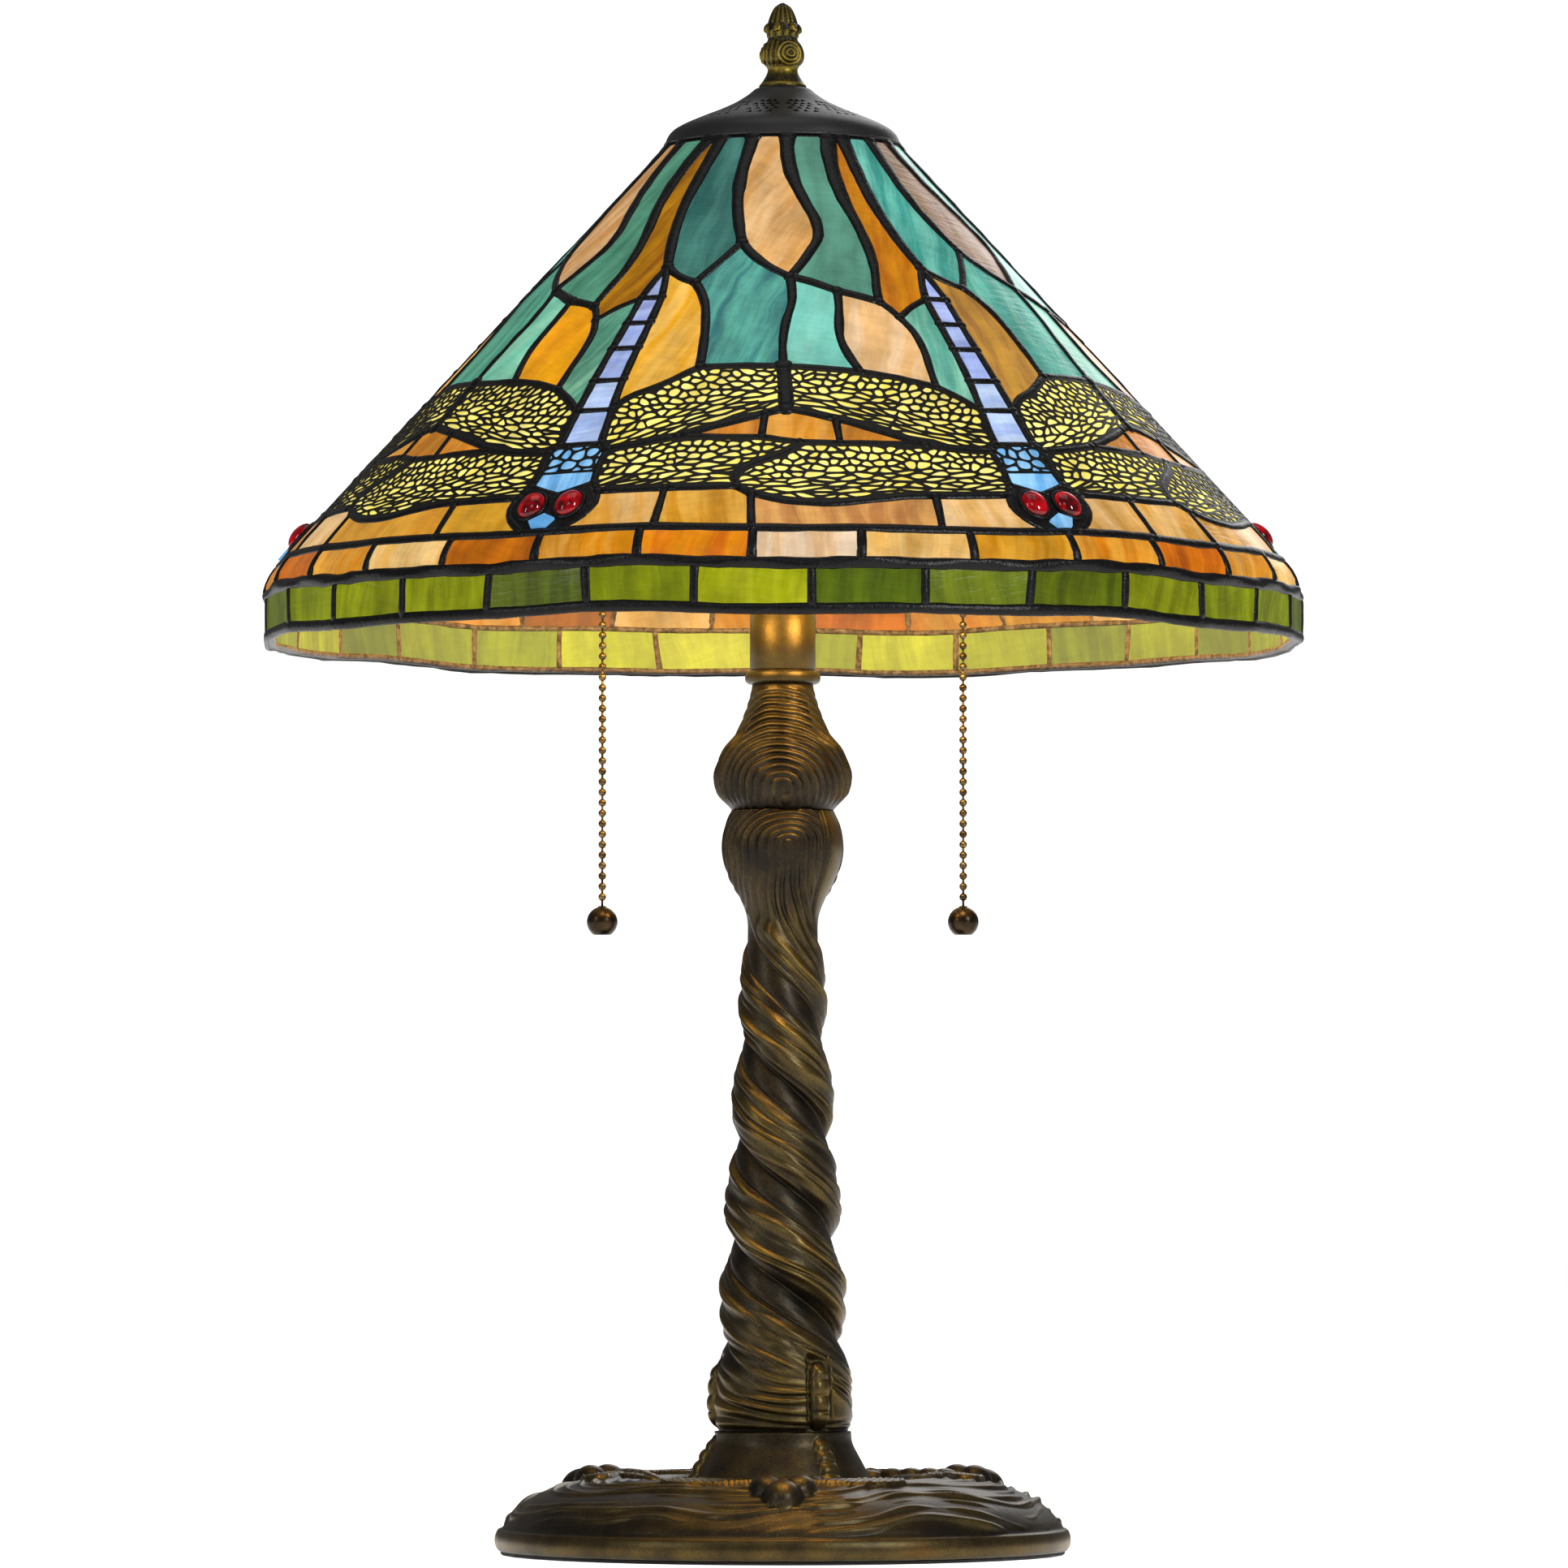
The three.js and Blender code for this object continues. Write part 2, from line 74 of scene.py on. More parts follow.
# ---- Numbers and noise ----
def ripple(points, wavelength, seed):
    """Smooth noise of about -1 to 1: a sum of plane waves near one wavelength."""
    waves = 8
    source = np.random.default_rng(seed)
    points = np.asarray(points, float)
    directions = source.normal(size=(waves, points.shape[-1]))
    directions /= np.linalg.norm(directions, axis=1, keepdims=True)
    lengths = wavelength * source.uniform(0.7, 1.6, waves)
    phases = source.uniform(0, TURN, waves)
    return np.sin(points @ (directions * TURN / lengths[:, None]).T + phases).sum(-1) / (0.55 * waves)


def smoothstep(x, low, high):
    """A soft rise from 0 at low to 1 at high."""
    t = np.clip((x - low) / (high - low), 0, 1)
    return t * t * (3 - 2 * t)


def between(x, rise_from, rise_to, fall_from, fall_to):
    """1 in the middle of a range, and 0 outside it, with soft ends."""
    return smoothstep(x, rise_from, rise_to) * (1 - smoothstep(x, fall_from, fall_to))


def crest_wave(phase, sharpness):
    """Ridges from 0 in the hollows to 1 on the crests, one for each unit of phase."""
    return (0.5 + 0.5 * np.cos(phase * TURN)) ** sharpness


def joined(*axes):
    """Points whose coordinates are these arrays, in each other's shape."""
    return np.stack(np.broadcast_arrays(*axes), -1)


def around(r, a, z):
    """Points at a radius and a height, at an angle in radians about +Z from the front."""
    return joined(r * np.sin(a), -r * np.cos(a), z)


def azimuths(count):
    """A row of azimuths all the way round."""
    return np.arange(count)[None, :] * 360 / count


def turn_from(az, middle):
    """The angle from one azimuth to another, the short way round."""
    return (az - middle + 180) % 360 - 180


def smooth_line(points, step, scale=(1, 1)):
    """A smooth line through points, with a point about every step. scale weighs the axes' lengths."""
    p = np.asarray(points, float)
    knots = np.r_[0, np.cumsum(np.linalg.norm(np.diff(p, axis=0) * scale, axis=1))]
    slopes = np.gradient(p, knots, axis=0)
    t = np.linspace(0, knots[-1], max(2, math.ceil(knots[-1] / step) + 1))
    i = np.clip(np.searchsorted(knots, t, side="right") - 1, 0, len(p) - 2)
    h = (knots[i + 1] - knots[i])[:, None]
    u = (t - knots[i])[:, None] / h
    start = (1 + 2 * u) * (1 - u) ** 2 * p[i] + u * (1 - u) ** 2 * h * slopes[i]
    end = u**2 * (3 - 2 * u) * p[i + 1] + u**2 * (u - 1) * h * slopes[i + 1]
    return start + end


def lengths_along(line):
    """The length of a line up to each of its points."""
    return np.r_[0, np.cumsum(np.linalg.norm(np.diff(line, axis=0), axis=1))]


def along_outline(outline, lengths, at, reach):
    """The middle of a short stretch of a turned outline, and the direction down it."""
    ends = [joined(*[np.interp(at + d, lengths, column) for column in outline.T]) for d in (-reach, reach)]
    down = ends[1] - ends[0]
    return (ends[0] + ends[1]) / 2, down / np.maximum(np.linalg.norm(down, axis=-1, keepdims=True), 1e-9)


def inside(polygon, points):
    """Which points lie in a polygon."""
    a, b = polygon, np.roll(polygon, -1, axis=0)
    x, y = points[:, 0, None], points[:, 1, None]
    crosses = (a[:, 1] > y) != (b[:, 1] > y)
    rise = np.where(b[:, 1] == a[:, 1], 1e-12, b[:, 1] - a[:, 1])
    return (crosses & (x < a[:, 0] + (y - a[:, 1]) / rise * (b[:, 0] - a[:, 0]))).sum(1) % 2 == 1


def polygon_area(polygon):
    """A polygon's area, below 0 if it runs clockwise."""
    x, y = polygon[:, 0], polygon[:, 1]
    return 0.5 * np.sum(x * np.roll(y, -1) - np.roll(x, -1) * y)


def paint(colour):
    """A colour written as #rrggbb, in the linear numbers that shaders use."""
    srgb = np.array([int(colour[i : i + 2], 16) / 255 for i in (1, 3, 5)])
    return np.where(srgb <= 0.04045, srgb / 12.92, ((srgb + 0.055) / 1.055) ** 2.4)


def saturated(colour, factor):
    """A stronger colour, further from the grey of its brightness."""
    grey = colour @ [0.21, 0.72, 0.07]
    return np.clip(grey + factor * (colour - grey), 0.003, 1)


# ---- Meshes ----
SHARP_DEG = 40  # edges of plates that bend more than this stay sharp


class Shape:
    """Vertices, faces and vertex attributes of one mesh, gathered part by part."""

    def __init__(self):
        self.vertices = []
        self.faces = []
        self.finish_of_face = []
        self.attributes = {}
        self.count = 0

    def add(self, vertices, faces, finish=0, **attributes):
        vertices = np.asarray(vertices, float).reshape(-1, 3)
        faces = faces.tolist() if isinstance(faces, np.ndarray) else faces
        self.faces += [[i + self.count for i in face] for face in faces]
        self.finish_of_face += [finish] * len(faces)
        self.vertices.append(vertices)
        self.count += len(vertices)
        for name, value in attributes.items():
            value = np.asarray(value, float)
            width = value.shape[-1:] if value.shape[-1:] == (3,) else ()
            filled = np.broadcast_to(value, (len(vertices), *width))
            self.attributes.setdefault(name, []).append(filled)
        return self


def in_scene(name, data):
    """A new object in the scene."""
    thing = bpy.data.objects.new(name, data)
    bpy.context.scene.collection.objects.link(thing)
    return thing


def make(name, shape, body, finishes, replaces, sharp=False):
    """One piece of the lamp: a mesh of the shape with one or more finishes, riding on a CAD body."""
    mesh = bpy.data.meshes.new(name)
    mesh.from_pydata((np.concatenate(shape.vertices) * MM).tolist(), [], shape.faces)
    for label, parts in shape.attributes.items():
        values = np.concatenate(parts).astype(np.float32)
        kind = "FLOAT_VECTOR" if values.ndim == 2 else "FLOAT"
        layer = mesh.attributes.new(label, kind, "POINT")
        layer.data.foreach_set("vector" if values.ndim == 2 else "value", values.ravel())
    for finish in finishes.split():
        mesh.materials.append(FINISHES[finish])
    mesh.polygons.foreach_set("material_index", shape.finish_of_face)
    mesh.polygons.foreach_set("use_smooth", [True] * len(mesh.polygons))
    mesh.update()
    if sharp:
        mesh.set_sharp_from_angle(angle=math.radians(SHARP_DEG))
    piece = in_scene(name, mesh)
    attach(piece, body)
    if replaces:
        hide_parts(*replaces)
    return piece


def make_turned(name, profile, columns, body, finish, replaces, slot, x=0, **attributes):
    """One turned piece of the lamp, about a vertical axis at x."""
    shape = Shape().add(*turned(profile, columns, (x, 0)), **attributes)
    return make(name, shape, body, finish, replaces)


def grid_faces(rows, columns, close_rows=False):
    """Quads between rings of vertices, ring after ring."""
    r = np.arange(rows if close_rows else rows - 1)[:, None]
    c = np.arange(columns)[None, :]
    up, right = (r + 1) % rows, (c + 1) % columns
    corners = [r * columns + c, r * columns + right, up * columns + right, up * columns + c]
    return joined(*corners).reshape(-1, 4)


def turned(profile, columns, centre=(0, 0)):
    """Turns (radius, height) points about a vertical axis. The outline runs down the outside; where
    it leaves the axis out, it closes on itself."""
    profile = np.asarray(profile, float)
    on_axis = profile[:, 0] < 1e-6
    a = np.arange(columns) * TURN / columns
    rings, firsts, count = [], [], 0
    for (r, z), single in zip(profile, on_axis):
        angles = a[:1] if single else a
        rings.append(around(r, angles, z) + [*centre, 0])
        firsts.append(count)
        count += len(angles)
    faces = []
    pairs = list(zip(range(len(profile) - 1), range(1, len(profile))))
    if not on_axis[0]:
        pairs.append((len(profile) - 1, 0))
    for i, j in pairs:
        for c in range(columns):
            d = (c + 1) % columns
            upper = [firsts[i]] if on_axis[i] else [firsts[i] + d, firsts[i] + c]
            lower = [firsts[j]] if on_axis[j] else [firsts[j] + c, firsts[j] + d]
            if len(upper) + len(lower) > 2:
                faces.append(upper + lower)
    return np.concatenate(rings), faces


def swept(path, radius, sides):
    """A round bar along a path, closed at both ends."""
    path = np.asarray(path, float)
    along = np.gradient(path, axis=0)
    along /= np.linalg.norm(along, axis=1, keepdims=True)
    up = np.array([0.0, 1.0, 0.0]) if abs(along[0][1]) < 0.9 else np.array([1.0, 0.0, 0.0])
    rings = []
    for point, direction, r in zip(path, along, np.broadcast_to(radius, len(path))):
        across = np.cross(direction, up)
        across /= np.linalg.norm(across)
        up = np.cross(across, direction)
        a = np.arange(sides)[:, None] * TURN / sides
        rings.append(point + r * (np.cos(a) * across + np.sin(a) * up))
    n = len(path)
    faces = grid_faces(n, sides)[:, ::-1].tolist()
    faces += [list(range(sides)), list(range(n * sides - 1, (n - 1) * sides - 1, -1))]
    return np.concatenate(rings), faces


def plate(outline, holes, surface, lifts, spacing=None):
    """A plate on a surface, with holes. outline and holes are (x, y) lines, anticlockwise seen from
    outside; surface(points, lift) places them. Gives vertices, faces, the drawing's point of each
    vertex, and the number of vertices on the outer side, which come first."""
    lines = [outline, *holes]
    points = list(np.concatenate(lines))
    ends = np.cumsum([len(line) for line in lines])
    loops = [list(range(end - len(line), end)) for line, end in zip(lines, ends)]
    if spacing:
        low, high = outline.min(0), outline.max(0)
        x, y = np.meshgrid(np.arange(low[0], high[0], spacing), np.arange(low[1], high[1], 0.87 * spacing))
        x[1::2] += spacing / 2
        grid = np.stack([x.ravel(), y.ravel()], -1)
        grid = grid[inside(outline, grid)]
        if len(grid):
            clear = np.linalg.norm(grid[:, None] - outline[None], axis=-1).min(1) > 0.45 * spacing
            points += list(grid[clear])
    made = delaunay_2d_cdt([Vector(p) for p in points], [], loops, 1, 1e-5)
    flat = np.array([tuple(v) for v in made[0]])
    faces = [list(f) for f, origin in zip(made[2], made[5]) if origin == [0]]
    used = sorted({i for f in faces for i in f})
    renumber = {old: new for new, old in enumerate(used)}
    faces = [[renumber[i] for i in f] for f in faces]
    flat = flat[used]
    edges = {edge: None for f in faces for edge in zip(f, f[1:] + f[:1])}
    border = [(a, b) for a, b in edges if (b, a) not in edges]
    n = len(flat)
    vertices = np.concatenate([surface(flat, np.full(n, float(lift))) for lift in lifts[::-1]])
    faces += [[i + n for i in reversed(f)] for f in faces]
    faces += [[b, a, a + n, b + n] for a, b in border]
    return vertices, faces, np.concatenate([flat, flat]), n


# ---- The shade's face ----
TOP_R, TOP_Z = 46, top("upper_field_glass")
SLOPE = 0.9187  # growth of the cone's radius for each millimetre down
CONE_END_Z = top("lower_brick_glass")
SKIRT_SINK = 0.2  # how far the skirt's panes lie inside the CAD's skirt
SKIRT_R = extent("skirt_glass", "x")[1] - SKIRT_SINK
SKIRT_TOP_Z, RIM_Z = top("skirt_glass"), bottom("rim_wire")
GLASS_T = 3
ROW_SLANTS = {"brick": 222.5, "skirt": 237.6, "rim": 254.4}
BRICKS = 30
BRICK_DEG = 360 / BRICKS
ROW_STARTS = {"brick": -3.3, "skirt": 3.0}  # azimuth of one divider of each row
CELLS = 6
CELL_DEG = 360 / CELLS
FIRST_DRAGONFLY_DEG = -27.6


def shade_outline():
    """Radius and height down the shade's face: the cone, a rounded corner and the upright skirt."""
    cone_end = np.array([TOP_R + SLOPE * (TOP_Z - CONE_END_Z), CONE_END_Z])
    corner = np.array([SKIRT_R, CONE_END_Z - (SKIRT_R - cone_end[0]) / SLOPE])
    skirt_top = np.array([SKIRT_R, SKIRT_TOP_Z])
    t = np.linspace(0, 1, 9)[:, None]
    bend = (1 - t) ** 2 * cone_end + 2 * t * (1 - t) * corner + t**2 * skirt_top
    return np.vstack([[TOP_R, TOP_Z], bend, [SKIRT_R, RIM_Z]])


OUTLINE = shade_outline()
OUTLINE_SLANTS = lengths_along(OUTLINE)


def shade_radius(s):
    """The radius of the shade at a slant."""
    return np.interp(s, OUTLINE_SLANTS, OUTLINE[:, 0])


def hand_cut(az, s):
    """The small unevenness of pieces that were cut and soldered by hand."""
    a = np.radians(az)
    sideways = 0.25 * np.sin(4 * a + s / 21) + 0.15 * np.sin(9 * a - s / 13 + 1)
    down = 0.7 * np.sin(7 * a + 0.8 + s / 40) + 0.45 * np.sin(13 * a + 2.3)
    return az + sideways, s + down * np.clip(s / 30, 0, 1)


def flatness(az, s):
    """The panes of the two lowest rows are flat, so their middles lie inside the round outline."""
    from_middle = [(az - ROW_STARTS[row]) % BRICK_DEG - BRICK_DEG / 2 for row in ("brick", "skirt")]
    brick, skirt = [math.cos(math.radians(BRICK_DEG / 2)) / np.cos(np.radians(a)) for a in from_middle]
    on_skirt = smoothstep(s, ROW_SLANTS["skirt"] - 1.5, ROW_SLANTS["skirt"] + 1.5)
    on_rows = smoothstep(s, ROW_SLANTS["brick"] - 9, ROW_SLANTS["brick"])
    return 1 + on_rows * (brick * (1 - on_skirt) + skirt * on_skirt - 1)


def on_shade(az, s, lift):
    """Points at a lift outward from the shade's face."""
    flat = flatness(az, s)
    az, s = hand_cut(az, s)
    middle, down = along_outline(OUTLINE, OUTLINE_SLANTS, s, 0.6)
    r = middle[..., 0] * flat - down[..., 1] * lift
    z = middle[..., 1] + down[..., 0] * lift
    return around(r, np.radians(az), z)


def shade_axes(az, s, lift):
    """A point of the shade, and directions there: towards growing azimuth, up the slope, outward."""
    az, s = np.asarray(az, float), np.asarray(s, float)
    point = on_shade(az, s, lift)
    across = on_shade(az + 0.05, s, lift) - on_shade(az - 0.05, s, lift)
    up = on_shade(az, s - 0.05, lift) - on_shade(az, s + 0.05, lift)
    across /= np.linalg.norm(across, axis=-1, keepdims=True)
    up /= np.linalg.norm(up, axis=-1, keepdims=True)
    return point, across, up, np.cross(across, up)


class Patch:
    """A part of the shade's face as a flat drawing: x in millimetres from a middle azimuth, y up."""

    def __init__(self, middle):
        self.middle = middle

    def flat(self, line):
        line = np.asarray(line, float)
        x = (line[:, 0] - self.middle) * np.radians(1) * shade_radius(line[:, 1])
        return np.stack([x, -line[:, 1]], -1)

    def surface(self, points, lift):
        s = -points[:, 1]
        return on_shade(self.middle + points[:, 0] / (np.radians(1) * shade_radius(s)), s, lift)


def inset(polygon, distance):
    """An anticlockwise polygon with its corners moved in."""
    before, after = np.roll(polygon, 1, axis=0), np.roll(polygon, -1, axis=0)
    along = after - before
    along /= np.maximum(np.linalg.norm(along, axis=1, keepdims=True), 1e-9)
    return polygon + distance * np.stack([-along[:, 1], along[:, 0]], -1)


# ---- The leading's drawing: one sixth of the shade, with its dragonfly's middle at azimuth 0 ----
# Places are (azimuth, slant). A name that ends in + is the same place in the next sixth.
TAIL_STEPS = [(93.3, 4.6), (107.3, 5.0), (121.3, 5.5), (139, 6.3), (155.5, 7.4), (174.5, 8.6)]
PLACES = {
    "top1": (-2.8, 0), "top2": (13.7, 0), "top3": (29.6, 0), "top4": (50, 0), "tail": (0.5, 76),
    "j2": (8.9, 85.5), "j3": (17.2, 62.5), "j4": (29.2, 82.8), "j5": (46.9, 97), "j6": (49.7, 105),
    "j7": (38.8, 92.2), "w7": (51.2, 143.2), "w8": (27.7, 134.2), "w9": (39.8, 137.8), "w10": (14.4, 134),
    "w14": (27.7, 158.3), "g1": (13.5, 173.3), "g2": (24.8, 160.9), "g2b": (24.6, 173.8),
    "d1": (29.5, 176.6), "g3": (34.5, 164.2), "g3b": (34.8, 177.3), "g4": (46.5, 176.2),
    "neckR": (4.2, 178.5), "neckL": (-4.2, 178.5), "chestR": (4.0, 197), "chestL": (-4.0, 197),
    "chin": (0, 202.5), "eyeR": (5, 202), "eyeL": (-4.9, 202.8), "noseR": (1.9, 222.5),
    "noseL": (-1.9, 222.5), "k1": (13.3, 202), "d2": (22.2, 200.7), "k2": (24, 204.4), "k3": (45.7, 204.2),
    "b1": (13.3, 222.5), "b2": (24.3, 222.5), "b3": (45.5, 222.5),
}
for step, (slant, half_width) in enumerate(TAIL_STEPS, 1):
    half_deg = math.degrees(half_width / float(shade_radius(slant)))
    PLACES[f"tailR{step}"] = (half_deg, slant)
    PLACES[f"tailL{step}"] = (-half_deg, slant)

# Each lead runs from one place through points to another, with its widths at both ends.
LEADS = [
    ("top1", "tail", 5.0, 3.4, [(-3.5, 18), (-3.6, 38), (-1.8, 59)]),
    ("top2", "j3", 4.8, 3.2, [(13.2, 10), (12.6, 22), (13.3, 38), (15.3, 52)]),
    ("j3", "j2", 2.4, 2.4, []),
    ("j3", "j4", 3.2, 2.8, [(20, 68.5), (24, 75.5), (27.5, 80.5)]),
    ("top3", "j4", 5.0, 2.4, [(29.3, 10), (30.2, 20), (34.4, 40), (36.9, 52), (36.9, 60), (34, 69.5),
                              (30.8, 78.5)]),
    ("top4", "j5", 5.8, 2.4, [(47.2, 10), (46, 22), (46.6, 38), (48.5, 54), (49.2, 68), (48.6, 80),
                              (47.4, 90)]),
    ("tail", "j2", 2.8, 2.8, [(3.5, 80.5), (6.3, 83.6)]),
    ("j4", "j7", 3.2, 3.2, [(33.5, 86.5)]),
    ("j7", "j5", 3.0, 3.0, [(43, 94.6)]),
    ("j5", "j6", 2.4, 2.4, [(48.6, 101)]),
    ("tailL1+", "j6", 1.8, 1.8, [(53.3, 98.5)]),
    ("j6", "w7", 2.4, 2.4, [(51, 111), (51.6, 122), (51.3, 133)]),
    ("j4", "w8", 2.6, 2.6, [(29.6, 90), (29.6, 98), (28.6, 108), (27.9, 120)]),
    ("j7", "w9", 3.0, 2.6, [(38.5, 100), (37.9, 110), (37.6, 119), (38.5, 129)]),
    ("j2", "w10", 2.8, 2.8, [(10.6, 90), (12.4, 97), (13.6, 108), (14.2, 121)]),
    ("tail", "tailR1", 2.2, 2.4, [(1.5, 84)]),
    ("tail", "tailL1", 2.2, 2.4, [(-1.2, 84)]),
    ("tailR6", "neckR", 2.4, 2.4, []),
    ("tailL6", "neckL", 2.4, 2.4, []),
    ("neckR", "chestR", 2.2, 2.2, [(3.8, 188)]),
    ("neckL", "chestL", 2.2, 2.2, [(-3.8, 188)]),
    ("chestR", "chin", 2.0, 2.0, []),
    ("chin", "chestL", 2.0, 2.0, []),
    ("chestR", "eyeR", 2.2, 2.2, []),
    ("chestL", "eyeL", 2.2, 2.2, []),
    ("eyeR", "noseR", 2.2, 2.2, [(5.4, 208), (4.3, 215.5)]),
    ("eyeL", "noseL", 2.2, 2.2, [(-5.3, 208), (-4.3, 215.5)]),
    ("tailR5", "w10", 2.4, 2.6, [(5, 149), (8.5, 144.5), (11.5, 139.3)]),
    ("w10", "w8", 2.6, 2.6, [(21, 133.6)]),
    ("w8", "w9", 2.6, 2.6, [(33, 136)]),
    ("w9", "w7", 2.6, 2.6, [(46.5, 140.2)]),
    ("w7", "tailL5+", 2.6, 2.4, [(54.3, 148.5)]),
    ("w8", "w14", 5.0, 4.4, []),
    ("w14", "g2", 2.6, 2.6, []),
    ("g2", "g1", 2.6, 2.6, [(19, 167)]),
    ("w14", "g3", 2.6, 2.6, [(31, 161)]),
    ("g3", "g4", 2.6, 2.6, [(40.5, 170)]),
    ("g1", "neckR", 2.8, 2.8, [(9, 176.3)]),
    ("g4", "neckL+", 2.8, 2.8, [(51, 177.9)]),
    ("g1", "g2b", 2.2, 2.2, []),
    ("g2", "g2b", 2.0, 2.0, []),
    ("g2b", "d1", 2.2, 2.2, []),
    ("d1", "g3b", 2.2, 2.2, []),
    ("g3", "g3b", 2.0, 2.0, []),
    ("g3b", "g4", 2.2, 2.2, []),
    ("d1", "d2", 2.4, 2.4, [(28.4, 181), (25.5, 186), (22.8, 191), (21.8, 196)]),
    ("eyeR", "k1", 2.6, 2.6, []),
    ("k1", "d2", 2.6, 2.6, []),
    ("d2", "k2", 2.6, 2.6, []),
    ("k2", "k3", 2.6, 2.6, [(28.5, 208.6), (33.5, 209.6), (38.7, 207.2), (42.5, 205)]),
    ("k3", "eyeL+", 2.6, 2.6, []),
    ("k1", "b1", 2.2, 2.2, []),
    ("k2", "b2", 2.2, 2.2, []),
    ("k3", "b3", 2.2, 2.2, []),
]
for step in range(1, len(TAIL_STEPS)):
    for side in "RL":
        LEADS.append((f"tail{side}{step}", f"tail{side}{step + 1}", 2.4, 2.6, []))
for step in range(1, len(TAIL_STEPS) + 1):
    LEADS.append((f"tailL{step}", f"tailR{step}", 1.8, 1.8, []))
# The upper edge and the ring over the brick row bound the drawing. Their solder is made as rings.
BORDERS = [("top1", "top2"), ("top2", "top3"), ("top3", "top4"), ("top4", "top1+"), ("noseL", "noseR"),
           ("noseR", "b1"), ("b1", "b2"), ("b2", "b3"), ("b3", "noseL+")]
LEADS += [(start, end, 0, 0, []) for start, end in BORDERS]

# What each opening of the drawing holds, found by a place inside it.
OPENINGS = {
    "dark teal": [(6, 40)], "flame": [(24, 40)], "teal": [(41, 60)], "narrow amber": [(53, 60)],
    "bright amber": [(8, 110)], "wide teal": [(20, 110)], "light teal": [(33, 110)], "peach": [(45, 115)],
    "striped teal": [(53.5, 120)], "tail": [(0, 88), (0, 100), (0, 114), (0, 130), (0, 148), (0, 165)],
    "thorax": [(0, 187)], "wing": [(15, 155), (45, 160), (14, 188), (38, 192)],
    "amber gap": [(21, 170), (30, 168), (38, 173)], "brick": [(9, 212), (19, 212), (35, 215), (50, 213)],
    "head": [(0, 210)],
}


def place(name, sixth):
    """The key of a place in a sixth, and where it is."""
    base = name.rstrip("+")
    turn = sixth + (base != name)
    az, s = PLACES[base]
    return (base, turn % CELLS), (az + FIRST_DRAGONFLY_DEG + CELL_DEG * turn, s)


def lead_routes():
    """Every lead of the shade: the places it joins, its line and its widths along it."""
    routes = []
    for sixth in range(CELLS):
        turn = FIRST_DRAGONFLY_DEG + CELL_DEG * sixth
        for start, end, start_width, end_width, via in LEADS:
            first, first_point = place(start, sixth)
            last, last_point = place(end, sixth)
            line = [first_point, *[(az + turn, s) for az, s in via], last_point]
            line = smooth_line(line, 3.2, scale=(2, 1))
            routes.append((first, last, line, np.linspace(start_width, end_width, len(line))))
    return routes


def openings_between(routes):
    """The outline of each opening between the leads, by walking round it edge by edge."""
    leaving = {}
    for number, (first, last, line, _) in enumerate(routes):
        for forward, key in ((True, first), (False, last)):
            a, b = (line[0], line[1]) if forward else (line[-1], line[-2])
            rise = -(b[1] - a[1])
            run = (b[0] - a[0]) * math.radians(1) * float(shade_radius((a[1] + b[1]) / 2))
            leaving.setdefault(key, []).append((math.atan2(rise, run), number, forward))
    following = {}
    for edges in leaving.values():
        edges.sort()
        for i, (_, number, forward) in enumerate(edges):
            following[(number, not forward)] = edges[i - 1][1:]
    outlines, seen = [], set()
    for start in following:
        if start in seen:
            continue
        points, edge, shift = [], start, 0.0
        while edge not in seen:
            seen.add(edge)
            number, forward = edge
            line = routes[number][2] if forward else routes[number][2][::-1]
            if points:
                shift = points[-1][0] - line[0][0]
                points.pop()
            points += [(az + shift, s) for az, s in line]
            edge = following[edge]
        outline = np.array(points)
        if abs(outline[0, 0] - outline[-1, 0]) < 1:
            outlines.append(outline[:-1])
    return outlines


def kind_of(outline):
    """What an opening holds, and which sixth of the shade it is in."""
    for kind, seeds in OPENINGS.items():
        for number, (az, s) in enumerate(seeds):
            for sixth in range(-CELLS, 2 * CELLS):
                seed = np.array([[az + FIRST_DRAGONFLY_DEG + CELL_DEG * sixth, s]])
                if abs(seed[0, 0] - outline[:, 0].mean()) < CELL_DEG and inside(outline, seed)[0]:
                    return kind, sixth % CELLS, number
    return None


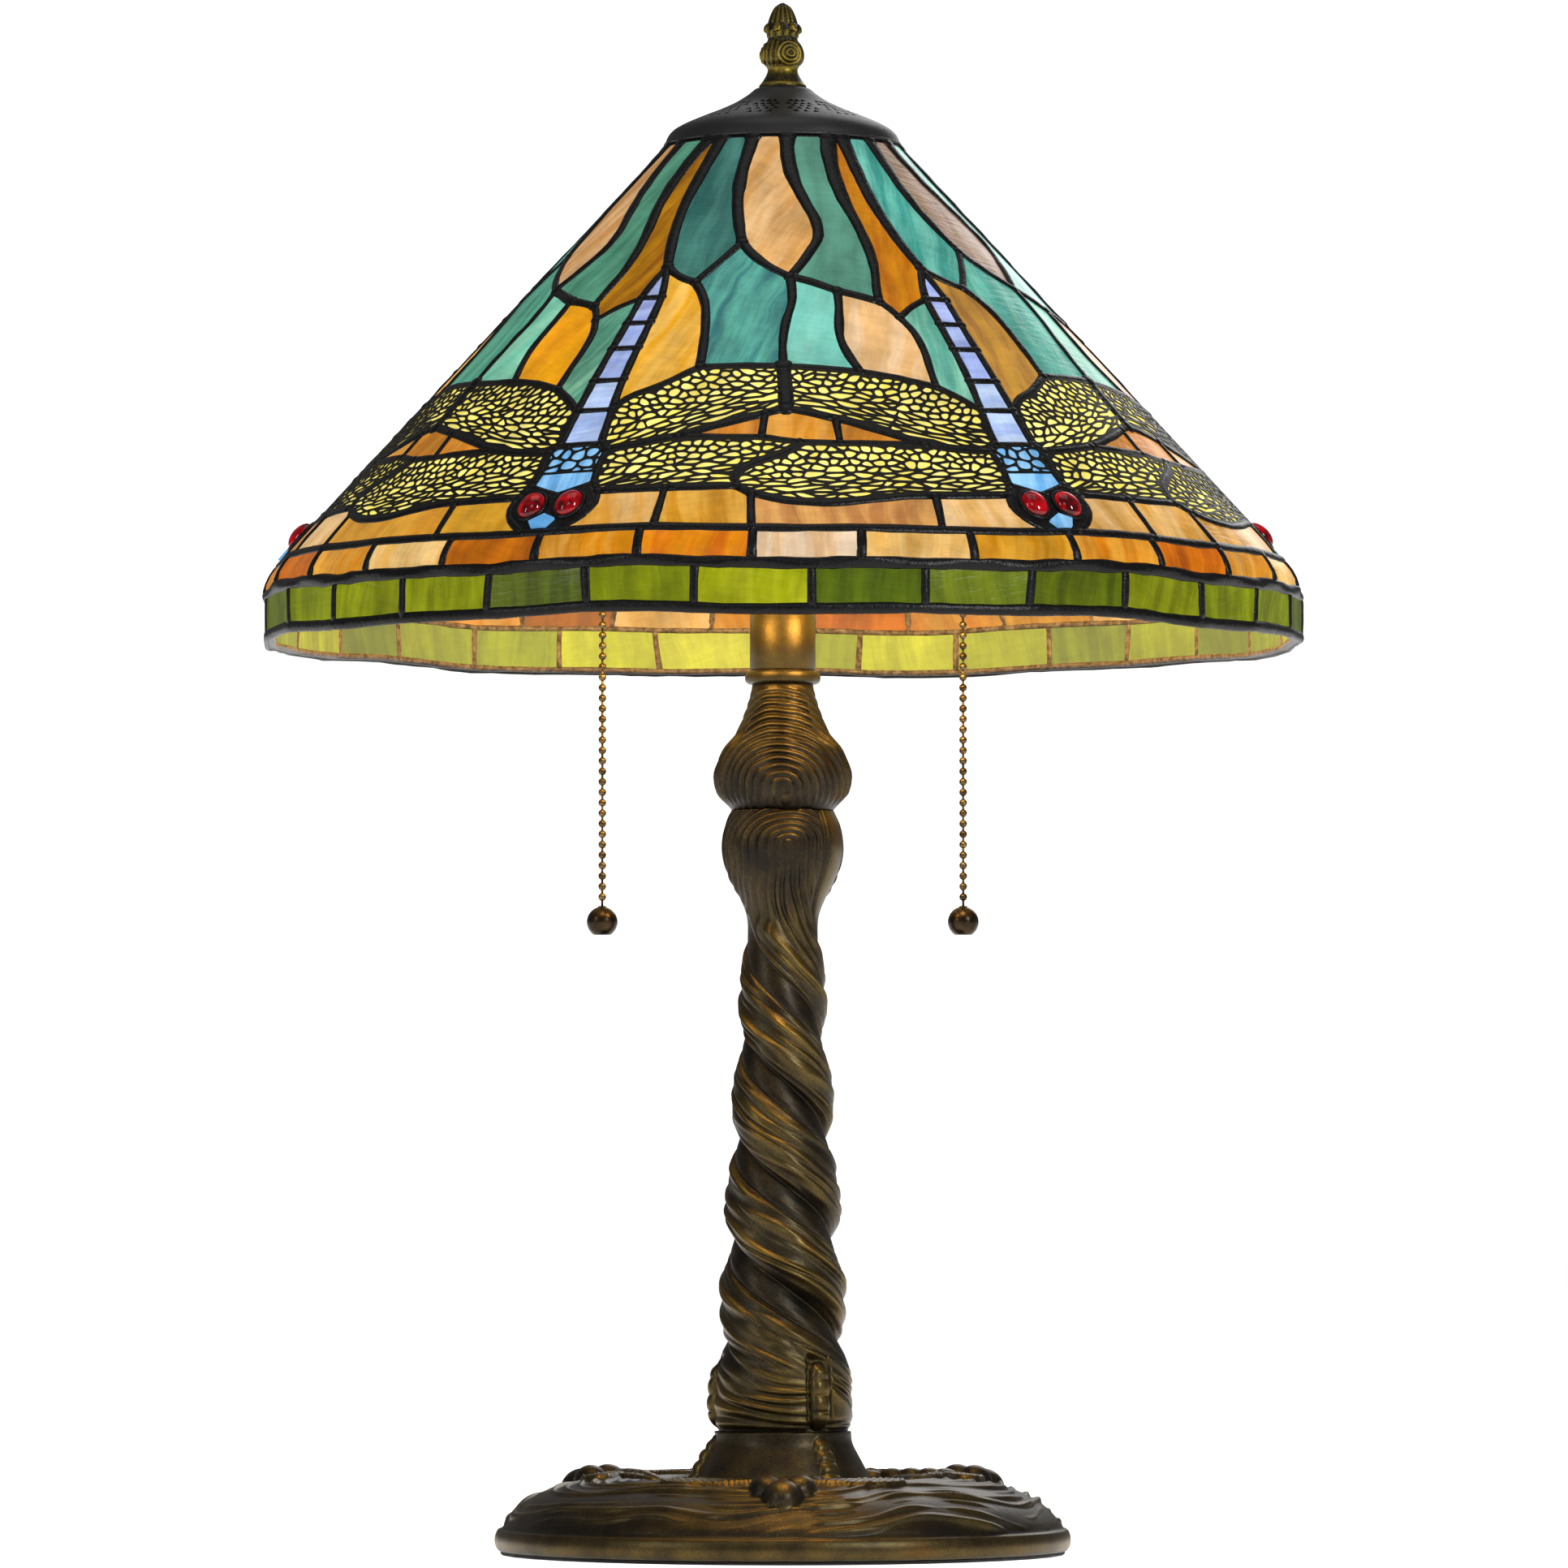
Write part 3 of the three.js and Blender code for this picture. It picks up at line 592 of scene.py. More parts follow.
# ---- Glass ----
# For each kind of pane: pairs of a colour and its streaks' colour. Where there are six pairs, they are
# for the sixths in turn: sixth 0 lies left of the front, sixth 1 right of it and sixth 5 far left.
GLASS = {
    "dark teal": ("#4a7c72 #33625c, #4f9c90 #7cc0b0, #3f8474 #2c6658, #44766a #2e5a54, "
                  "#4a9484 #69b09c, #4c8f7c #68ab92"),
    "flame": ("#dfa868 #edc492, #9a8070 #866c50, #d29348 #e2b070, #dca45c #eac08c, "
              "#cc8434 #a8641c, #b88652 #cfa87e"),
    "teal": ("#629884 #528472, #55a092 #86c4b4, #52967f #3c7a6a, #5f9c84 #8cc0a4, "
             "#3f8674 #2c6a5c, #60977e #487e68"),
    "narrow amber": ("#d08a2c #b46c1c, #bc6e1c #cf9040, #b46a18 #965010, #c27c22 #aa6016, "
                     "#b87020 #cc8c3c, #8f5c20 #b07c30"),
    "bright amber": ("#eaac42 #f0bf6c, #c89850 #a07444, #dc9334 #c07424, #e6a544 #eec078, "
                     "#cc8a34 #aa6a26, #dc9a44 #e8b874"),
    "wide teal": ("#62a696 #3a7272, #56a294 #7cbcaa, #43887a #2f6a68, #4c8a7c #2f6460, "
                  "#56a090 #3b8074, #498a76 #68a88c"),
    "light teal": ("#76bcae #88c8b8, #58a490 #90ccb4, #5aac98 #489884, #6abcaa #84ccb4, "
                   "#4e9c8c #3c8274, #74b8a0 #92ccb0"),
    "peach": ("#edbf88 #f4d4ae, #d8a470 #bc8454, #dca058 #e8bc88, #e8b47c #f0cca0, "
              "#d2904c #b87434, #e29a30 #eaa844"),
    "striped teal": ("#6cae9c #94ccb4, #589c88 #94c4ac, #468470 #5e9c84, #4f8c74 #76ac90, "
                     "#43826e #2f6656, #5a937d #88b89c"),
    "wing": "#fcf09c #f8e67e",
    "amber gap": "#d8902e #e0a458, #b27224 #cc8c44, #c47a28 #d89850",
    "thorax": "#6ca4d4 #98c4e8",
    "tail": "#9aa6dc #b4c0ea, #9aaae2 #b4c4ee, #a8bcea #c6d8f4",
    "brick": ("#daa052 #e6bc80, #d5a34c #c08438, #dcae70 #eac89a, #cc9038 #dcac5c, "
              "#d0a060 #e0bc8c, #d6a050 #c48840, #d8a468 #b47c4c"),
    "row brick": ("#d28a26 #e0a85c, #dca050 #cc7c20, #dc8c30 #cc701c, #e4bc90 #f0d8bc, "
                  "#e8b870 #f0cc90, #d0782a #b86020, #cc8c34 #dca650, #bc6e2c #9c5828"),
    "green": ("#7c8424 #98a03c, #586420 #404c18, #727c22 #8a9430, #5c6c20 #788430, "
              "#a0a62c #b4b848, #4c5c1c #5f7024, #6c7a24 #505c1c, #8a9628 #727c20"),
    "kite": "#6ca8dc #98c8ee",
}
# Which pair of colours each pane of the two lowest rows has, from the first pane right of the front.
BRICK_ORDER = [3, 4, 6, 1, 5, 0, 4, 7, 0, 2]
GREEN_ORDER = [5, 3, 6, 0, 2, 7, 1, 0, 3, 5, 2, 6, 0, 4, 7, 4, 4, 7, 2, 5, 0, 3, 1, 6, 2, 0, 0, 1, 2, 4]
PAINTED_GLOW = 0.86  # how bright the panes' painted glow is: light of their own that stands in for the bulbs' light shining through them
PAINTED_GLOW_OF = {"wing": 1.22, "thorax": 1.2, "green": 0.95}  # some kinds' share of it
INNER_DIMMING = 0.45  # how much less of it the bricks give inwards
INNER_PAINTED_LIGHT = {"green": 1.0, "row brick": 0.8}  # how much painted bulb light pales and yellows a pane's inner face
SATURATION = 1.14  # how much stronger the colours are than as written here
# How steep the streaks of some kinds run. Those of other kinds have 75.
GRAIN_DEG = {"brick": 90, "row brick": 80, "green": 85, "tail": 0, "peach": 70, "wide teal": 80}
PANE_INSET = 0.35  # how far a pane's edge stays inside the middle of its leads
PANE_SPACING = 7.5  # between the vertices inside a pane
# Each glass piece: its kinds of pane, its seed, the CAD nodes that it replaces and its slot.
GLASS_PIECES = {
    "teal_panes": (["dark teal", "teal", "wide teal", "light teal", "striped teal"], 1, ["upper_field_glass"],
                   "teal_glass"),
    "amber_panes": (["flame", "narrow amber", "bright amber", "peach", "amber gap", "brick", "row brick"], 2,
                    ["upper_brick_glass", "lower_brick_glass"], "amber_glass"),
    "wing_panes": (["wing"], 3, ["wing_band_glass"], "wing_glass"),
    "body_panes": (["thorax", "tail"], 4, [], "blue_glass"),
    "skirt_panes": (["green"], 6, ["skirt_glass"], "green_glass"),
}


class Glazing:
    """The panes of one kind of glass, gathered into one shape."""

    def __init__(self, seed):
        self.shape = Shape()
        self.random = np.random.default_rng(seed)

    def pane(self, outline, kind, choice, lift=(-GLASS_T, 0.0)):
        """One pane: a plate of glass with its own streaks."""
        patch = Patch(float(np.mean(outline[:, 0])))
        flat = inset(patch.flat(outline), PANE_INSET)
        vertices, faces, drawing, outer = plate(flat, [], patch.surface, lift, PANE_SPACING)
        pairs = GLASS[kind].split(", ")
        tint, streak = [saturated(paint(c), SATURATION) for c in pairs[choice % len(pairs)].split()]
        tint = tint * self.random.uniform(0.9, 1.08)
        grain = math.radians(GRAIN_DEG.get(kind, 75) + self.random.uniform(-14, 14))
        turn = np.array([[math.cos(grain), -math.sin(grain)], [math.sin(grain), math.cos(grain)]])
        flow = np.column_stack([drawing @ turn, np.full(len(drawing), self.random.uniform(0, 900))])
        on_inside = np.arange(len(vertices)) >= outer
        dimmed = INNER_DIMMING * on_inside * ("brick" in kind)
        self.shape.add(vertices, faces, tint=tint, streak=streak, flow=flow,
                       inner=on_inside * INNER_PAINTED_LIGHT.get(kind, 0.1),
                       glow=PAINTED_GLOW * PAINTED_GLOW_OF.get(kind, 1.0) * (1 - dimmed))


def anticlockwise(outline):
    """The outline, turned round if it runs clockwise as seen from outside."""
    return outline if polygon_area(outline * [1, -1]) > 0 else outline[::-1]


def row_outlines(row, next_row, seed):
    """The rectangles of a row of panes, slightly skewed, and the lines between them."""
    source = np.random.default_rng(seed)
    starts = ROW_STARTS[row] + BRICK_DEG * np.arange(BRICKS)
    tops, bottoms = [starts + source.uniform(-0.35, 0.35, BRICKS) for _ in range(2)]
    high, low = ROW_SLANTS[row], ROW_SLANTS[next_row]
    panes, lines = [], []
    for k in range(BRICKS):
        after = (k + 1) % BRICKS
        turn = 360 if after == 0 else 0
        corners = [(tops[k], high), (bottoms[k], low)]
        corners += [(bottoms[after] + turn, low), (tops[after] + turn, high)]
        sides = [np.linspace(corners[i], corners[(i + 1) % 4], 4)[:-1] for i in range(4)]
        panes.append(anticlockwise(np.concatenate(sides)))
        lines.append(np.linspace(corners[0], corners[1], 6))
    return panes, lines


# ---- Solder ----
BEAD_FOOT_DEG = 25  # how far a bead's section goes on below the glass
DIVIDER_W = 3.7
# The solder rings round the shade: slant, width and how much they stand proud of other solder.
RINGS = ((0.3, 1.9, -0.4), (ROW_SLANTS["brick"], 4.3, 0.2), (ROW_SLANTS["skirt"], 5.0, 0.2),
         (ROW_SLANTS["rim"], 4.4, 0.2))


def solder_bead(shape, line, widths, height, inner, seed, closed=False):
    """A half-round bead along a line of (azimuth, slant), on the shade's outer or inner face."""
    point, _, _, out = shade_axes(line[:, 0], line[:, 1], -GLASS_T + 0.3 if inner else -0.3)
    if inner:
        out = -out
    along = np.roll(point, -1, axis=0) - np.roll(point, 1, axis=0) if closed else np.gradient(point, axis=0)
    along /= np.maximum(np.linalg.norm(along, axis=1, keepdims=True), 1e-9)
    side = np.cross(along, out)
    lumps = ripple(point, 14, seed)
    wide = widths / 2 * (1 + 0.1 * lumps + 0.05 * ripple(point, 5, seed + 1))
    tall = height * (1 + 0.16 * ripple(point, 9, seed + 2))
    angles = np.radians(np.linspace(180 + BEAD_FOOT_DEG, -BEAD_FOOT_DEG, 8))
    rings = [point + side * (wide * math.cos(a))[:, None] + out * (tall * math.sin(a))[:, None]
             for a in angles]
    vertices = np.stack(rings, 1).reshape(-1, 3)
    n, sides = len(line), len(angles)
    faces = grid_faces(n, sides, close_rows=closed).tolist()
    if not closed:
        faces += [list(range(sides - 1, -1, -1)), list(range((n - 1) * sides, n * sides))]
    shape.add(vertices, faces, inner=float(inner))


def solder_blob(shape, az, s, radius, height, inner):
    """A flat dome of solder where leads meet."""
    point, across, up, out = shade_axes(az, s, -GLASS_T + 0.2 if inner else -0.2)
    if inner:
        out, across = -out, -across
    a = np.arange(10) * TURN / 10
    rings = [(1.0, -0.25), (0.9, 0.35), (0.55, 0.85)]  # shares of the radius and of the height
    flat = np.cos(a)[:, None] * across + np.sin(a)[:, None] * up
    vertices = [point + radius * r * flat + height * h * out for r, h in rings]
    vertices.append(np.array([point + height * out]))
    vertices.append(np.array([point - 0.3 * height * out]))
    faces = grid_faces(len(rings), 10).tolist()
    last, tip, foot = 20, 30, 31
    faces += [[last + i, last + (i + 1) % 10, tip] for i in range(10)]
    faces += [[(i + 1) % 10, i, foot] for i in range(10)]
    shape.add(np.concatenate(vertices), faces, inner=float(inner))


def solder_ring(shape, s, width, height, inner, seed):
    """A bead all the way round the shade at one slant."""
    line = np.stack([np.arange(0, 360, 1.5), np.full(240, float(s))], -1)
    solder_bead(shape, line, np.full(240, float(width)), height, inner, seed, closed=True)


# ---- Pierced brass overlays ----
NET_HALF = 0.5  # half the width of the net's bars
PLATE_LIFTS = (0.2, 0.65)


def clip_half(polygon, normal, limit):
    """The part of a polygon where normal . p <= limit."""
    side = polygon @ normal - limit
    kept = []
    for i in range(len(polygon)):
        j = (i + 1) % len(polygon)
        if side[i] <= 0:
            kept.append(polygon[i])
        if (side[i] < 0) != (side[j] < 0) and side[i] != side[j]:
            kept.append(polygon[i] + (polygon[j] - polygon[i]) * side[i] / (side[i] - side[j]))
    return np.array(kept)


def cut_corners(polygon):
    """The polygon with each corner cut off, which rounds it."""
    after = np.roll(polygon, -1, axis=0)
    return np.stack([0.74 * polygon + 0.26 * after, 0.26 * polygon + 0.74 * after], 1).reshape(-1, 2)


def net_holes(outline, cell, stretch, lean, border, seed):
    """The holes of an irregular net inside an outline. cell is their mean width, stretch(x, y)
    their length for one of width, and lean(x, y) the direction of the long side."""
    source = np.random.default_rng(seed)
    field = inset(outline, border)
    low, high = field.min(0) - cell, field.max(0) + cell
    long_cell = cell * float(np.mean(stretch(*field.T)))
    pitch = math.sqrt(cell * long_cell)
    x, y = np.meshgrid(np.arange(low[0], high[0], pitch), np.arange(low[1], high[1], 0.87 * pitch))
    x[1::2] += pitch / 2
    seeds = np.stack([x.ravel(), y.ravel()], -1)
    seeds += source.uniform(-0.34, 0.34, seeds.shape) * pitch
    seeds = seeds[source.uniform(0, 1, len(seeds)) > 0.12 * (stretch(*seeds.T) - 1.3)]
    bars = source.uniform(0.7, 1.2, len(seeds)) * NET_HALF
    angle, ratio = lean(*seeds.T), stretch(*seeds.T)
    long_way = np.stack([np.cos(angle), np.sin(angle)], -1)
    short_way = np.stack([-long_way[:, 1], long_way[:, 0]], -1)
    metric = (long_way[:, :, None] * long_way[:, None, :] / ratio[:, None, None]
              + short_way[:, :, None] * short_way[:, None, :] * ratio[:, None, None])
    holes = []
    for i, seed_point in enumerate(seeds):
        hole = field
        away = seeds - seed_point
        for j in np.argsort((away**2).sum(1))[1:22]:
            normal = (metric[i] + metric[j]) @ away[j]
            normal /= np.linalg.norm(normal)
            hole = clip_half(hole, normal, normal @ (seed_point + away[j] / 2) - bars[i])
            if len(hole) < 3:
                break
        if len(hole) >= 3 and polygon_area(hole) > 1.5:
            hole = cut_corners(cut_corners(hole))
            keep = np.linalg.norm(hole - np.roll(hole, 1, axis=0), axis=1) > 0.12
            if keep.sum() >= 4:
                holes.append(hole[keep])
    return holes


def wing_net(outline, number, seed):
    """The net of one wing: short cells that stand up along its outer edge, long ones along its body."""
    middle = outline.mean(0)
    spread = np.linalg.svd(outline - middle, full_matrices=False)[2][0]
    lie = math.atan2(spread[1], spread[0])
    across = np.array([-math.sin(lie), math.cos(lie)])
    if across[1] < 0:
        across = -across
    height = (outline - middle) @ across
    reach = max(abs(height.min()), abs(height.max()))

    def share(x, y):
        return ((x - middle[0]) * across[0] + (y - middle[1]) * across[1]) / reach

    def lean(x, y):
        if number < 2:
            return lie + math.copysign(1.0, middle[0]) * smoothstep(share(x, y), -0.35, 0.9) * 1.25
        return np.full(np.shape(x), lie)

    def stretch(x, y):
        return 1.4 + 2.7 * smoothstep(-share(x, y), -0.35, 0.7)

    return net_holes(outline, 2.65, stretch, lean, 2.2, seed)


# ---- Finishes ----
class Finish:
    """A procedural material, with short calls to add its nodes."""

    def __init__(self, name, **sockets):
        self.material = bpy.data.materials.new(name)
        self.material.use_nodes = True
        self.tree = self.material.node_tree
        self.shader = self.tree.nodes["Principled BSDF"]
        for socket, value in sockets.items():
            self.shader.inputs[socket.replace("_", " ")].default_value = value

    def node(self, kind, settings=None, **inputs):
        node = self.tree.nodes.new("ShaderNode" + kind)
        for key, value in (settings or {}).items():
            setattr(node, key, value)
        for key, value in inputs.items():
            self.plug(value, node.inputs[key.replace("_", " ")])
        return node

    def plug(self, value, socket):
        if isinstance(value, bpy.types.NodeSocket):
            self.tree.links.new(value, socket)
        else:
            socket.default_value = value

    def shade(self, **inputs):
        for key, value in inputs.items():
            self.plug(value, self.shader.inputs[key.replace("_", " ")])
        return self.material

    def attribute(self, name, output="Vector"):
        return self.node("Attribute", {"attribute_name": name}).outputs[output]

    def place(self, scale=(1, 1, 1)):
        """Where the point is on the lamp at rest, in millimetres, stretched by a scale."""
        position = self.node("TexCoord").outputs["Object"]
        node = self.node("Mapping", Vector=position)
        node.inputs["Scale"].default_value = [1000 * k for k in scale]
        return node.outputs["Vector"]

    def noise(self, vector, size, detail, roughness=0.55):
        node = self.node("TexNoise", Vector=vector, Scale=1 / size, Detail=detail, Roughness=roughness)
        return node.outputs["Fac"]

    def ramp(self, factor, low, high, low_value=0.0, high_value=1.0):
        ends = {"From_Min": low, "From_Max": high, "To_Min": low_value, "To_Max": high_value}
        return self.node("MapRange", Value=factor, **ends).outputs["Result"]

    def math(self, operation, a, b):
        node = self.node("Math", {"operation": operation})
        self.plug(a, node.inputs[0])
        self.plug(b, node.inputs[1])
        return node.outputs[0]

    def mix(self, factor, a, b, blend="MIX"):
        node = self.node("Mix", {"data_type": "RGBA", "blend_type": blend})
        self.plug(factor, node.inputs["Factor"])
        for socket, value in ((node.inputs[6], a), (node.inputs[7], b)):
            self.plug((*value, 1) if isinstance(value, (tuple, np.ndarray)) else value, socket)
        return node.outputs[2]

    def vector(self, operation, a, b):
        node = self.node("VectorMath", {"operation": operation})
        self.plug(a, node.inputs[0])
        self.plug(b, node.inputs[1])
        return node.outputs["Vector"]

    def scaled(self, vector, factors):
        return self.vector("MULTIPLY", vector, factors)

    def bump(self, height, depth_mm, strength):
        node = self.node("Bump", Height=height, Distance=depth_mm * MM, Strength=strength)
        return node.outputs["Normal"]


def art_glass(name):
    """Opalescent sheet glass, lit from inside by a painted glow of its own that stands in for the bulbs'
    light: long streaks, soft clouds, fine rolled ripples.
    """
    f = Finish(name, Roughness=0.26, Specular_IOR_Level=0.18)
    flow = f.attribute("flow")
    bend = f.noise(f.scaled(flow, (0.03, 0.03, 1)), 1.0, 2)
    bent = f.vector("ADD", flow, f.scaled(bend, (10.0, 10.0, 0)))
    streaks = f.noise(f.scaled(bent, (0.016, 0.14, 1)), 1.0, 5, 0.6)
    wisps = f.noise(f.scaled(bent, (0.05, 0.5, 1)), 1.0, 4, 0.65)
    clouds = f.noise(f.scaled(flow, (0.045, 0.07, 1)), 1.0, 3)
    colour = f.mix(f.ramp(streaks, 0.42, 0.62), f.attribute("tint"), f.attribute("streak"))
    colour = f.mix(f.ramp(wisps, 0.52, 0.75, 0, 0.45), colour, f.attribute("streak"))
    rolled = f.noise(f.scaled(flow, (0.55, 0.09, 1)), 1.0, 2)
    light = f.math("MULTIPLY", f.ramp(clouds, 0.3, 0.7, 0.7, 1.18), f.ramp(wisps, 0.3, 0.7, 0.95, 1.05))
    light = f.math("MULTIPLY", light, f.ramp(rolled, 0.3, 0.7, 0.94, 1.06))
    lit = f.mix(1.0, colour, light, "MULTIPLY")
    # Painted bulb light on the panes' inner faces: paler and yellower there, by each kind's share.
    lit = f.mix(f.math("MULTIPLY", f.attribute("inner", "Fac"), 0.55), lit,
                f.mix(0.2, f.mix(1.0, lit, (1.3, 1.3, 1.5), "MULTIPLY"), (1.1, 1.05, 0.6)))
    grain = f.noise(f.scaled(flow, (0.6, 0.6, 1)), 1.0, 3)
    height = f.math("ADD", f.math("MULTIPLY", rolled, 0.8), f.math("MULTIPLY", grain, 0.2))
    body = f.mix(1.0, lit, (0.2, 0.2, 0.2), "MULTIPLY")
    # Painted glow: the emission stands in for the bulbs' light shining through the glass.
    return f.shade(Base_Color=body, Emission_Color=lit, Emission_Strength=f.attribute("glow", "Fac"),
                   Normal=f.bump(height, 0.5, 0.5))


def solder_finish():
    """Solder with a black patina outside, and browner and brighter inside."""
    f = Finish("solder_patina", Specular_IOR_Level=0.2)
    place = f.place()
    lumps = f.noise(place, 2.2, 4)
    fine = f.noise(place, 0.5, 2)
    dark = f.mix(f.ramp(lumps, 0.4, 0.7), (0.003, 0.003, 0.003), (0.007, 0.007, 0.007))
    warm = f.mix(f.ramp(lumps, 0.35, 0.7), (0.05, 0.035, 0.02), (0.22, 0.17, 0.11))
    rough = f.ramp(fine, 0.3, 0.7, 0.22, 0.42)
    height = f.math("ADD", f.math("MULTIPLY", lumps, 0.8), f.math("MULTIPLY", fine, 0.2))
    return f.shade(Base_Color=f.mix(f.attribute("inner", "Fac"), dark, warm), Roughness=rough,
                   Normal=f.bump(height, 0.6, 0.6))


def pierced_brass():
    """Etched brass sheet with a black patina that is worn a little on its edges."""
    f = Finish("pierced_brass", Metallic=0.7)
    fine = f.noise(f.place(), 0.9, 4)
    colour = f.mix(f.ramp(fine, 0.5, 0.8), (0.011, 0.010, 0.008), (0.045, 0.038, 0.022))
    return f.shade(Base_Color=colour, Roughness=f.ramp(fine, 0.3, 0.7, 0.35, 0.55),
                   Normal=f.bump(fine, 0.15, 0.5))


def cast_bronze(name, gold="#645528", warm="#6c4a18"):
    """Dark antique bronze: brown-black in the hollows, rubbed to speckled olive gold on the ridges, and
    painted lighter the same way where light falls, as on the neck's top.
    """
    f = Finish(name, Metallic=0.8)
    place = f.place()
    speckle = f.noise(place, 0.55, 2, 0.7)
    patches = f.noise(place, 16, 3)
    rub = f.math("ADD", f.attribute("rub", "Fac"), f.ramp(speckle, 0.3, 0.7, -0.22, 0.22))
    rub = f.math("MULTIPLY", rub, f.ramp(patches, 0.3, 0.62, 0.45, 1.15))
    dark = f.mix(f.ramp(patches, 0.4, 0.7), paint("#1d1a16"), paint("#2c271e"))
    rubbed = f.mix(f.ramp(patches, 0.62, 0.75), paint(gold), paint(warm))
    colour = f.mix(f.ramp(rub, 0.1, 1.0), dark, rubbed)
    roughness = f.ramp(rub, 0.0, 1.0, 0.42, 0.34)
    height = f.math("ADD", f.math("MULTIPLY", speckle, 0.4), f.noise(place, 2.4, 3))
    return f.shade(Base_Color=colour, Roughness=roughness, Normal=f.bump(height, 0.16, 0.6))


def metal(name, dark, light, roughness, metallic=1.0, stretch=(1, 1, 1), depth=0.08):
    """Plain metal with a mottled tone and a fine grain."""
    f = Finish(name, Metallic=metallic)
    mottle = f.noise(f.place(stretch), 7.2, 4)
    grain = f.noise(f.place(stretch), 0.6, 3)
    colour = f.mix(f.ramp(mottle, 0.35, 0.68), paint(dark), paint(light))
    return f.shade(Base_Color=colour, Roughness=f.ramp(grain, 0.3, 0.7, roughness - 0.08, roughness + 0.1),
                   Normal=f.bump(grain, depth, 0.5))


def ruby_glass():
    # Painted glow: the rubies give light of their own, standing in for the light that comes through them.
    f = Finish("ruby_glass", Roughness=0.06, Specular_IOR_Level=0.4, Emission_Strength=0.6)
    place = f.place()
    depth = f.noise(place, 5, 2)
    colour = f.mix(f.ramp(depth, 0.35, 0.65), (0.05, 0.0, 0.001), (0.42, 0.0, 0.004))
    return f.shade(Base_Color=colour, Emission_Color=colour)


def lit_bulb():
    f = Finish("frosted_bulb", Roughness=0.35, Emission_Strength=3.0)
    cloud = f.noise(f.place(), 18, 2)
    colour = f.mix(f.ramp(cloud, 0.3, 0.7), paint("#ffd9a0"), paint("#ffeccc"))
    return f.shade(Base_Color=colour, Emission_Color=colour)


def felt_finish():
    f = Finish("black_felt", Roughness=0.95, Sheen_Weight=0.4, Sheen_Roughness=0.5)
    fibres = f.noise(f.place((1, 1, 3)), 0.35, 5, 0.8)
    return f.shade(Base_Color=f.mix(fibres, (0.006, 0.006, 0.006), (0.03, 0.028, 0.026)),
                   Normal=f.bump(fibres, 0.3, 0.8))


def plain(name, dark, light, roughness, **sockets):
    """A moulded or painted surface with a faint mottle."""
    f = Finish(name, **sockets)
    mottle = f.noise(f.place(), 1.5, 4)
    return f.shade(Base_Color=f.mix(mottle, paint(dark), paint(light)),
                   Roughness=f.ramp(mottle, 0.3, 0.7, roughness - 0.08, roughness + 0.08),
                   Normal=f.bump(mottle, 0.05, 0.5))


FINISHES = {
    "glass": art_glass("opalescent_glass"),
    "solder": solder_finish(),
    "plate": pierced_brass(),
    "bronze": cast_bronze("antique_bronze"),
    "finial": cast_bronze("finial_brass", gold="#a08a26", warm="#a89230"),
    "cap": metal("dark_cap", "#0e0d0d", "#171515", 0.46, metallic=0.0),
    "brass": metal("aged_brass", "#6a4a1e", "#a07a38", 0.34),
    "chain": metal("chain_brass", "#3a2e1c", "#7c6844", 0.3),
    "ball": metal("ball_bronze", "#1c1611", "#3a2e1e", 0.28, metallic=0.85),
    "steel": metal("zinc_steel", "#77777a", "#a4a4a8", 0.32, stretch=(1, 1, 0.2)),
    "iron": metal("cast_iron", "#161617", "#2a2a2c", 0.7, metallic=0.6, depth=0.4),
    "ruby": ruby_glass(),
    "bulb": lit_bulb(),
    "felt": felt_finish(),
    "phenolic": plain("moulded_phenolic", "#140f0c", "#241a14", 0.45),
}


# ---- The shade ----
def choice_of(kind, sixth, number):
    """Which pair of its kind's colours a pane of the drawing has."""
    if kind == "brick":
        return sixth * 4 + number * 3
    if kind == "tail":
        return number // 2
    if kind == "amber gap":
        return 2 * sixth + number + 2
    return sixth


def glaze_shade():
    """Panes, solder, overlays and heads of the leaded glass shade."""
    routes = lead_routes()
    glazings = {name: Glazing(seed) for name, (_, seed, _, _) in GLASS_PIECES.items()}
    glazing_of = {kind: glazings[name] for name, (kinds, *_) in GLASS_PIECES.items() for kind in kinds}
    wings, thorax, heads = {}, None, []
    for outline in openings_between(routes):
        found = kind_of(outline)
        if not found:
            continue
        kind, sixth, number = found
        if kind == "head":
            heads.append(outline)
            continue
        glazing_of[kind].pane(outline, kind, choice_of(kind, sixth, number))
        if kind == "wing":
            wings[number, sixth] = outline
        if kind == "thorax" and sixth == 0:
            thorax = outline

    dividers = []
    for kind, row, next_row, seed, order in (("row brick", "brick", "skirt", 5, BRICK_ORDER),
                                             ("green", "skirt", "rim", 7, GREEN_ORDER)):
        outlines, lines = row_outlines(row, next_row, seed)
        dividers += lines
        for number, outline in enumerate(outlines):
            glazing_of[kind].pane(outline, kind, order[number % len(order)])
    for name, (_, _, replaces, slot) in GLASS_PIECES.items():
        make(name, glazings[name].shape, "shade", "glass", replaces, sharp=True)
    solder_shade(routes, dividers)
    rim_bead()
    overlays(wings, thorax)
    for outline in heads:
        dragonfly_head(outline)


